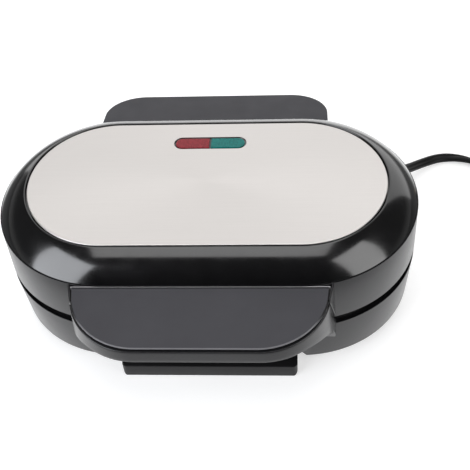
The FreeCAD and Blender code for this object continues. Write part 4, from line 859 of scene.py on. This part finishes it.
def handle_cheeks():
    """The lid's two cheeks beside the panel, each with a thin rim and a groove inside it.

    One cross section carried from the wall to the knee: every corner of the section is an offset
    from the drafted outer face and a height above the cheek's lower or upper edge there.
    """
    y = -np.concatenate([[HANDLE_ROOT - HANDLE_TUCK, HANDLE_ROOT - HANDLE_GAP],
                         np.linspace(HANDLE_ROOT, HANDLE_KNEE - HANDLE_GAP, 12)])
    knee = HANDLE_KNEE - HANDLE_GAP
    slant_end = PANEL_KNEE_HEIGHT - PANEL_THICKNESS - HANDLE_GAP
    low = np.interp(-y, [HANDLE_ROOT - HANDLE_GAP, knee], [LID_BOTTOM, slant_end])[:, None]
    high = panel_height(0.0, y)[:, None]
    bevel = 0.3 * MM
    over, drop = edge_steps(CHEEK_RIM / 2)
    inward = np.concatenate([[CHEEK_THICKNESS, bevel, 0.0, 0.0, 0.0], over, (CHEEK_RIM - over)[::-1],
                             [CHEEK_RIM, CHEEK_THICKNESS]])
    lift = np.concatenate([[0.0, 0.0, bevel, 0.0, 0.0], -drop, -drop[::-1], [-CHEEK_GROOVE] * 2])
    share = np.concatenate([[0, 0, 0, 0.33, 0.66], np.ones(len(lift) - 5)])
    height = low * (1 - share) + high * share + lift
    plan = np.interp(-y, [HANDLE_ROOT, HANDLE_KNEE], [HANDLE_ROOT_HALF, HANDLE_KNEE_HALF])[:, None]
    for side, name in ((-1, "left"), (1, "right")):
        across = flank(plan, height) - inward
        grid = np.stack([side * across, np.broadcast_to(y[:, None], across.shape), height], axis=-1)
        add_piece("handle_cheek_" + name, grid, "satin_black", "lid", ["lid_handle"], **CAPPED)


def hinge_cover():
    """Grey cover at the back: sloping panel with a rounded skirt round three sides."""
    half, reach, r, back = TAIL_HALF, TAIL_REACH, TAIL_CORNER, HANDLE_ROOT + 0.6 * MM
    loop = np.vstack([[(-half, back), (half, back)], arc((half, reach - r), (half - r, reach), -r, 20),
                      arc((r - half, reach), (-half, reach - r), -r, 20)])
    soft, rim, crease = 0.9 * MM, 0.3 * MM, 0.6 * MM
    inset, drop = edge_steps(soft)
    insets = np.concatenate([[TAIL_WALL + crease, TAIL_WALL, TAIL_WALL, TAIL_WALL - rim, rim, 0.0],
                             inset, [soft + FACE_INSET]])
    lifts = np.concatenate([[-TAIL_WALL, -TAIL_WALL - crease, rim - TAIL_SKIRT, -TAIL_SKIRT, -TAIL_SKIRT,
                             rim - TAIL_SKIRT], -drop, [0.0]])
    grid = stacked(loop, insets, [at(tail_height, lift) for lift in lifts])
    add_piece("hinge_cover_shell", grid, "panel_grey", "lid", ["rear_cover"], **CAPPED)


# ---------------------------------------------------------------- base

def base_shell():
    """Lower casing with a crisp rim, a rounded foot edge and the front notch.

    The profile goes round the stadium; along the straight front its lowest points are lifted to
    the notch's height.
    """
    inner = BASE_RIM - SHELL_WALL
    rim, rebate, lip = BASE_TOP - RIM_DROP, BASE_TOP - REBATE_DEPTH, BASE_RIM - REBATE_LIP
    step, under = LEDGE_RADIUS + 0.8 * MM, BASE_TOP - REBATE_DEPTH - LEDGE_THICKNESS
    corners = [(BASE_FOOT - SHELL_WALL, BASE_BOTTOM), (BASE_FOOT, BASE_BOTTOM), (BASE_RIM, rim),
               (lip, rim), (lip, rebate), (step, rebate), (step, LOWER_FLANGE),
               (LEDGE_RADIUS, LOWER_FLANGE), (LEDGE_RADIUS, under), (inner - 0.2 * MM, under)]
    radii = np.array([0.3, 1.0, 0.16, 0.16, 0.1, 0.1, 0.1, 0.2, 0.2, 0.1]) * MM
    grid = carried_round(rounded(corners, radii, 5))
    front = PLACES[:, 2] < -0.9999
    grid[front, :, 2] = np.maximum(grid[front, :, 2], BASE_BOTTOM + NOTCH_HEIGHT)
    add_piece("base_shell", grid, "satin_black", "base", ["base_housing"])


def foot_bar(name, node, ledge):
    """A foot bar: its side section carried from end to end, with round ends.

    At a distance into the rounded end, the underside rises and the front moves back, each by the
    radius less the quarter circle's height there.
    """
    (x0, y0, z0), (x1, y1, z1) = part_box(node)
    x0, step, side = x0 + FOOT_END_GAP, y0 + FOOT_LEDGE, FOOT_END_ROUND
    corners = [(y0, z0), (y1, z0), (y1, BASE_BOTTOM)]
    corners += [(step, BASE_BOTTOM), (step, z1)] if ledge else []
    corners += [(y0, z1)]
    radii = np.array([0.45, 0.6, 0.3] + ([0.2, 0.2] if ledge else []) + [0.5]) * MM
    section = rounded(corners, radii, 4)
    quarter = np.linspace(0, np.pi / 2, 9)
    inset = side * (1 - np.cos(quarter))
    lift = side * (1 - np.sin(quarter))
    x = np.concatenate([x0 + inset, (x1 - inset)[::-1]])
    lift = np.concatenate([lift, lift[::-1]])[:, None]
    low = section[:, 1] < section[:, 1].mean()
    front = section[:, 0] < y0 + side
    z = np.where(low, np.maximum(section[:, 1], z0 + lift), section[:, 1])
    y = np.where(front, np.maximum(section[:, 0], y0 + lift), section[:, 0])
    grid = np.stack([np.broadcast_to(x[:, None], z.shape), y, z], axis=-1)
    add_piece(name, grid, "foot_plastic", "base", [node], **CAPPED)


# ---------------------------------------------------------------- cooking plates

def well_depth(x, y, depth):
    """How deep the half-moon wells are at a place.

    The distance in from the stadium's edge or from the ridge, whichever is less, over the draft's
    width, blended with its smooth step so that floor and rim are softly rounded.
    """
    beyond = np.maximum(np.abs(x) - HALF_STRAIGHT, 0.0)
    from_edge = WELL_RADIUS - np.hypot(beyond, y)
    from_ridge = (np.abs(x) - RIDGE_HALF) * WELL_DRAFT / RIDGE_SLOPE
    share = np.clip(np.minimum(from_edge, from_ridge) / WELL_DRAFT, 0.0, 1.0)
    soft = share * share * (3 - 2 * share)
    return depth * (0.55 * share + 0.45 * soft)


def cooking_plate(name, node, rim, depth, sign, flange):
    """Cast plate: the well surface over the stadium, joined to the outside of the bowl.

    The wells go down from the rim where sign is one, and up where it is minus one.
    """
    across = np.concatenate([np.linspace(0.0, 40.0, 14), np.linspace(42.0, 54.0, 22), [58.0]]) * MM
    across = np.append(across, FLANGE_RADIUS - 0.5 * MM)
    places = stadium(48, 44)
    x = places[:, 0:1] + places[:, 1:2] * across
    y = places[:, 2:3] * across
    face = np.stack([x, y, rim - sign * well_depth(x, y, depth)], axis=-1)
    wall = WELL_RADIUS + WELL_WALL
    back = rim - sign * (depth + WELL_WALL)
    outside = carried_round([
        (FLANGE_RADIUS, rim - sign * 0.4 * MM), (FLANGE_RADIUS, flange + sign * 0.3 * MM),
        (FLANGE_RADIUS - 0.3 * MM, flange), (wall, flange), (wall - WELL_DRAFT, back + sign * MM),
        (wall - WELL_DRAFT - MM, back), (0.0, back)], places)
    grid = np.concatenate([face, outside], axis=1)
    add_piece(name, grid, "nonstick_coating", "base" if sign > 0 else "lid", [node],
              closed=(True, False), sharp=30.0)


# ---------------------------------------------------------------- mains cord

def exit_point(radius):
    """A point on the cord's exit line at a distance from the right end's centre."""
    return Vector((HALF_STRAIGHT + radius * math.cos(CORD_ANGLE), radius * math.sin(CORD_ANGLE),
                   CORD_EXIT_HEIGHT))


TURN_GAP = 0.15 * MM
FLOOR_LINE = CORD_THICKNESS / 2 + 0.05 * MM
EXIT = exit_point(RELIEF_TIP)
ROUTE = np.vstack([EXIT, np.array([
    (121.3, 80.2, 17.8), (128.5, 89.3, 11.3), (140.3, 101.8, 5.0), (153.0, 109.2, 2.95),
    (167.5, 108.6, 2.95), (183.4, 100.6, 2.95), (194.0, 88.6, 2.65), (203.0, 75.4, 2.1)]) * MM])


# distance along the cord from its exit in millimetres, and how far it is rolled there in degrees
CORD_ROLL = [(0.0, -41.0), (45.0, -41.0), (63.0, -20.0), (84.0, 42.0), (96.0, 42.0), (125.0, 0.0)]


def coil_centre():
    """The coil's middle, left of where the route ends."""
    heading = ROUTE[-1] - ROUTE[-2]
    heading /= np.linalg.norm(heading)
    return ROUTE[-1] + np.array([-heading[1], heading[0], 0.0]) * COIL_RADIUS


def coil_points():
    """Turns of the coil: angle grows evenly, the radius swings out and in by half a cord's width
    from turn to turn, and the last turns lie one thickness higher.
    """
    centre = coil_centre()
    start = math.atan2(ROUTE[-1][1] - centre[1], ROUTE[-1][0] - centre[0])
    turns = COIL_TURNS - start / (2 * math.pi)
    count = int(round(turns * COIL_STEPS))
    turn = turns * np.arange(1, count) / count
    radius = COIL_RADIUS + COIL_SWING * np.select(
        [turn < 1, turn < 2],
        [(1 - np.cos(np.pi * turn)) / 2, 1 - 2 * np.minimum(1, (turn - 1) / 0.5)],
        -1 + 2 * np.minimum(1, (turn - 2) / 0.6))
    height = FLOOR_LINE + (CORD_THICKNESS + TURN_GAP) * np.clip((turn - 1.75) / 0.3, 0, 1)
    angle = start + 2 * np.pi * turn
    return np.column_stack([centre[0] + radius * np.cos(angle), centre[1] + radius * np.sin(angle), height])


def lead_points():
    """From the coil to the plug."""
    return coil_centre() + np.array([(33.0, 1.0, 3.9), (32.6, 17.0, 4.4), (33.0, 32.0, 4.15)]) * MM


def nurbs_line(name, points):
    """Points read from a NURBS spline through the route."""
    data = bpy.data.curves.new(name, "CURVE")
    data.dimensions = "3D"
    data.resolution_u = 6
    spline = data.splines.new("NURBS")
    spline.points.add(len(points) - 1)
    spline.points.foreach_set("co", np.column_stack([points, np.ones(len(points))]).ravel())
    spline.order_u = 3
    spline.use_endpoint_u = True
    guide = bpy.data.objects.new(name, data)
    line = bpy.data.meshes.new_from_object(guide)
    path = np.empty(len(line.vertices) * 3)
    line.vertices.foreach_get("co", path)
    bpy.data.objects.remove(guide)
    return path.reshape(-1, 3)


def two_core_section():
    """Outline of flat two-core cord: two circles side by side, each open towards the other, which
    leaves a groove between them.
    """
    core = CORD_THICKNESS / 2
    offset = CORD_WIDTH / 2 - core
    groove = 0.74 * np.pi
    angle = np.linspace(-groove, groove, 12)
    right = np.column_stack([offset + core * np.cos(angle), core * np.sin(angle)])
    return np.vstack([right, -right])


def tube_along(path, section, roll):
    """A section carried along a path: each ring is the path's point plus the section's width times
    the sideways direction plus its height times the direction across both, both first turned
    about the path by the roll there.
    """
    along = np.gradient(path, axis=0)
    along /= np.linalg.norm(along, axis=1)[:, None]
    side = np.cross(along, np.array([0.0, 0.0, 1.0]))
    side /= np.linalg.norm(side, axis=1)[:, None]
    over = np.cross(side, along)
    c, s = np.cos(roll)[:, None], np.sin(roll)[:, None]
    side, over = side * c + over * s, over * c - side * s
    return path[:, None] + side[:, None] * section[None, :, 0:1] + over[:, None] * section[None, :, 1:2]


def cord():
    """The flat two-core mains cord, from the strain relief to its plug."""
    points = np.vstack([ROUTE, coil_points(), lead_points()])
    points[1:, 2] = np.maximum(points[1:, 2], FLOOR_LINE)
    path = nurbs_line("cord_route", points)
    gone = np.concatenate([[0.0], np.cumsum(np.linalg.norm(np.diff(path, axis=0), axis=1))])
    roll = np.radians(np.interp(gone, np.array(CORD_ROLL)[:, 0] * MM, np.array(CORD_ROLL)[:, 1]))
    piece = add_piece("mains_cord", tube_along(path, two_core_section(), roll), "cord_sheath", "base",
                      ["cord", "cord_coil", "plug_lead"], **CAPPED, sharp=60.0)
    return piece, path


def strain_relief():
    """Tapered sleeve with ribs: rings along the exit line, oval towards the tip like the cord.

    The rows are distance from the right end's centre and radius, both in millimetres.
    """
    tip = RELIEF_TIP / MM
    collar = [(61.2, 0.0), (61.2, 6.2), (63.2, 6.2), (63.2, 5.55), (67.4, 5.55), (67.7, 6.1), (69.4, 6.1),
              (69.8, 5.4)]
    end = [(tip - 1.1, 3.9), (tip - 0.3, 3.7), (tip, 3.3), (tip, 0.0)]
    rib = np.arange(6)[:, None]
    start, thick = 70.4 + rib * 3.0, 5.4 - 1.2 * rib / 5
    ribs = np.stack([start + [0.0, 1.7, 1.9, 2.8], thick - [0.0, 0.1, 0.9, 0.95]], axis=-1).reshape(-1, 2)
    reach, radius = np.vstack([collar, ribs, end]).T
    oval = 1 - 0.3 * np.clip((reach - 68) / 22, 0, 1)
    turn = np.linspace(0, 2 * np.pi, 36, endpoint=False)
    along = np.array([math.cos(CORD_ANGLE), math.sin(CORD_ANGLE), 0.0])
    across = np.array([along[1], -along[0], 0.0])
    origin = np.array([HALF_STRAIGHT, 0.0, CORD_EXIT_HEIGHT])
    sideways = np.cos(turn)[None, :, None] * across
    upright = (np.sin(turn) * oval[:, None])[..., None] * np.array([0.0, 0.0, 1.0])
    rings = reach[:, None, None] * along + radius[:, None, None] * (sideways + upright)
    add_piece("cord_sleeve", origin + rings * MM, "cord_sheath", "base", ["strain_relief"],
              **UNCAPPED, sharp=30.0)


def plug():
    """Moulded plug: rings of a rounded square whose width and height swell and narrow along it.

    Each ring is the cosine and sine of the turn raised to a power below one, which squares it; the
    table's rows are shares of the plug's length, width and height.
    """
    low, high = (np.array(corner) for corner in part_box("plug_body"))
    centre, size = (low + high) / 2, high - low
    share, wide, tall = np.array([
        (0.0, 0.24, 0.36), (0.03, 0.30, 0.46), (0.2, 0.34, 0.52), (0.3, 0.46, 0.62), (0.42, 0.74, 0.74),
        (0.5, 0.80, 0.80), (0.6, 0.76, 0.78), (0.74, 0.84, 0.9), (0.86, 0.99, 0.99), (0.96, 1.0, 1.0),
        (0.99, 0.97, 0.96), (1.0, 0.9, 0.9)]).T
    turn, power = np.linspace(0, 2 * np.pi, 48, endpoint=False), 0.55
    c, s = np.cos(turn), np.sin(turn)
    x = centre[0] + np.sign(c) * np.abs(c) ** power * wide[:, None] * size[0] / 2
    z = centre[2] + np.sign(s) * np.abs(s) ** power * tall[:, None] * size[2] / 2
    y = np.broadcast_to((low[1] + share * size[1])[:, None], x.shape)
    return add_piece("plug_moulding", np.stack([x, y, z], axis=-1), "plug_plastic", "base", ["plug_body"],
                     **CAPPED, sharp=40.0)


# ---------------------------------------------------------------- camera, light and floor

CAMERA_PLACE = Vector((53.8, -374.2, 449.9)) * MM
CAMERA_RIGHT = Vector((0.9970, 0.0440, -0.0560))
CAMERA_AHEAD = Vector((-0.071, 0.674, -0.735))
FOCAL_PIXELS = 913.7
FRAME_PIXELS = 470
BACKDROP_RAYS = ("Is Camera Ray", "Is Transmission Ray")
REFLECTED_RAYS = ("Is Glossy Ray",)
ROOM_GLOW = 0.14
FLOOR_GLOW = 0.55
FLOOR_GREY = (0.66, 0.66, 0.66)
FLOOR_FAR_GREY = (0.1, 0.1, 0.1)
# where the floor's glow grows to white as seen, and where it dies away as reflected, in metres
SEEN_SPAN = (0.5, 2.5)
REFLECTED_SPAN = (0.22, 0.32)
# the reflected glow ends sooner to the sides and sooner still in front; behind, y doesn't count
REFLECTED_STRETCH = (1.2, 1.65, 1.0)
FRONT_ONLY = (10.0, 0.0, 10.0)


def camera():
    """The main viewpoint: above the front, a little right of the middle."""
    data = bpy.data.cameras.new("camera")
    data.sensor_fit = "HORIZONTAL"
    data.sensor_width = 36.0
    data.lens = FOCAL_PIXELS * data.sensor_width / FRAME_PIXELS
    data.clip_start = 0.01
    ahead = CAMERA_AHEAD.normalized()
    right = (CAMERA_RIGHT - ahead * CAMERA_RIGHT.dot(ahead)).normalized()
    up = right.cross(ahead)
    turn = Matrix((right, up, -ahead)).transposed().to_4x4()
    holder = bpy.data.objects.new("camera", data)
    holder.matrix_world = Matrix.Translation(CAMERA_PLACE) @ turn
    bpy.context.scene.collection.objects.link(holder)
    bpy.context.scene.camera = holder


def softbox(name, place, target, width, height, glow, color=(1.0, 1.0, 1.0)):
    """A rectangular area light aimed at a point; its power is pi times its glow and its area."""
    data = bpy.data.lights.new(name, "AREA")
    data.shape = "RECTANGLE"
    data.size, data.size_y = width, height
    data.energy = glow * math.pi * width * height
    data.color = color
    lamp = bpy.data.objects.new(name, data)
    aim = Vector(target) - Vector(place)
    lamp.matrix_world = Matrix.Translation(place) @ aim.to_track_quat("-Z", "Y").to_matrix().to_4x4()
    bpy.context.scene.collection.objects.link(lamp)


def seen_ray(tree, kinds):
    """One for rays of the kinds named, and zero for all others."""
    path = add_node(tree, "ShaderNodeLightPath").outputs
    shown = path[kinds[0]]
    for kind in kinds[1:]:
        shown = math_of(tree, "MAXIMUM", shown, path[kind])
    return shown


def surroundings():
    """Dim studio for soft light; a pale backdrop seen directly, and in metal and gloss a pale
    horizon that fades upwards and towards the front.
    """
    world = bpy.data.worlds.new("studio")
    world.use_nodes = True
    tree = world.node_tree
    place = add_node(tree, "ShaderNodeTexCoord").outputs["Generated"]
    split = add_node(tree, "ShaderNodeSeparateXYZ")
    tree.links.new(place, split.inputs["Vector"])
    height = ramp_of(tree, split.outputs["Z"], (0.0, 0.2), 0.3, 0.06)
    front = ramp_of(tree, split.outputs["Y"], (-0.9, -0.35), 0.08, 1.0)
    horizon = math_of(tree, "MULTIPLY", height, front)
    glow = mix_of(tree, "FLOAT", seen_ray(tree, BACKDROP_RAYS + REFLECTED_RAYS), ROOM_GLOW, horizon)
    glow = mix_of(tree, "FLOAT", seen_ray(tree, BACKDROP_RAYS), glow, 1.0)
    background = tree.nodes["Background"]
    background.inputs["Color"].default_value = (1.0, 1.0, 1.0, 1.0)
    tree.links.new(glow, background.inputs["Strength"])
    bpy.context.scene.world = world


def floor_material():
    """Pale floor that glows only for rays that show it.

    Seen directly it grows to white far off. In reflections its glow and its grey both die away
    near the object, by a share that falls with the stretched distance from the middle.
    """
    material, shader = new_material("floor", FLOOR_GREY, 0.75)
    vary(material, shader, FLOOR_GREY, 0.75, 0.004, 0.05, 8.0)
    tree = material.node_tree
    place = add_node(tree, "ShaderNodeTexCoord").outputs["Object"]
    spread = add_node(tree, "ShaderNodeMapping", Scale=REFLECTED_STRETCH)
    tree.links.new(place, spread.inputs["Vector"])
    distance = vector_of(tree, "LENGTH", vector_of(tree, "MINIMUM", spread.outputs["Vector"], FRONT_ONLY))
    share = ramp_of(tree, distance, REFLECTED_SPAN, 1.0, 0.0)
    beyond = math_of(tree, "SUBTRACT", 1.0, share)
    tint(tree, shader, math_of(tree, "MULTIPLY", beyond, seen_ray(tree, REFLECTED_RAYS)), FLOOR_FAR_GREY)
    near = math_of(tree, "MULTIPLY", share, FLOOR_GLOW)
    far = ramp_of(tree, vector_of(tree, "LENGTH", place), SEEN_SPAN, FLOOR_GLOW, 1.0)
    glow = mix_of(tree, "FLOAT", seen_ray(tree, BACKDROP_RAYS), near, far)
    glow = math_of(tree, "MULTIPLY", glow, seen_ray(tree, BACKDROP_RAYS + REFLECTED_RAYS))
    tree.links.new(glow, shader.inputs["Emission Strength"])
    shader.inputs["Emission Color"].default_value = (1.0, 1.0, 1.0, 1.0)
    return material


def floor():
    """A square of floor far wider than the view."""
    mesh = bpy.data.meshes.new("floor")
    reach = 6.0
    corners = [(-reach, -reach, 0), (reach, -reach, 0), (reach, reach, 0), (-reach, reach, 0)]
    mesh.from_pydata(corners, [], [(0, 1, 2, 3)])
    mesh.materials.append(floor_material())
    ground = bpy.data.objects.new("floor", mesh)
    bpy.context.scene.collection.objects.link(ground)


def studio():
    """Soft boxes round the object, the dim room and the floor."""
    surroundings()
    middle = (0.0, 0.0, 0.05)
    softbox("back_box", (0.3, 1.2, 1.05), (0.3, 0.0, 1.05), 2.8, 2.1, 1.0)
    softbox("left_box", (-1.06, -0.80, 0.72), middle, 1.05, 1.4, 4.6, (0.93, 0.955, 1.0))
    softbox("right_box", (1.15, -0.66, 0.70), middle, 0.8, 1.5, 2.8)
    softbox("top_box", (0.0, 0.05, 1.9), middle, 1.25, 1.66, 2.0)
    floor()
    bpy.context.scene.view_settings.view_transform = "Standard"


# ---------------------------------------------------------------- the scene

camera()
dress_frame()
cord_piece, cord_path = cord()
strain_relief()
plug_piece = plug()
lid_cap()
lid_wall()
top_plate()
lamp_window()
handle_panel()
handle_carrier()
handle_cheeks()
grip_shell()
hinge_cover()
base_shell()
foot_bar("front_foot_bar", "front_foot", True)
foot_bar("rear_foot_bar", "rear_foot", False)
cooking_plate("lower_plate_casting", "lower_cooking_plate", LOWER_RIM, LOWER_WELL_DEPTH, 1, LOWER_FLANGE)
cooking_plate("upper_plate_casting", "upper_cooking_plate", UPPER_RIM, UPPER_WELL_DEPTH, -1, UPPER_FLANGE)
studio()
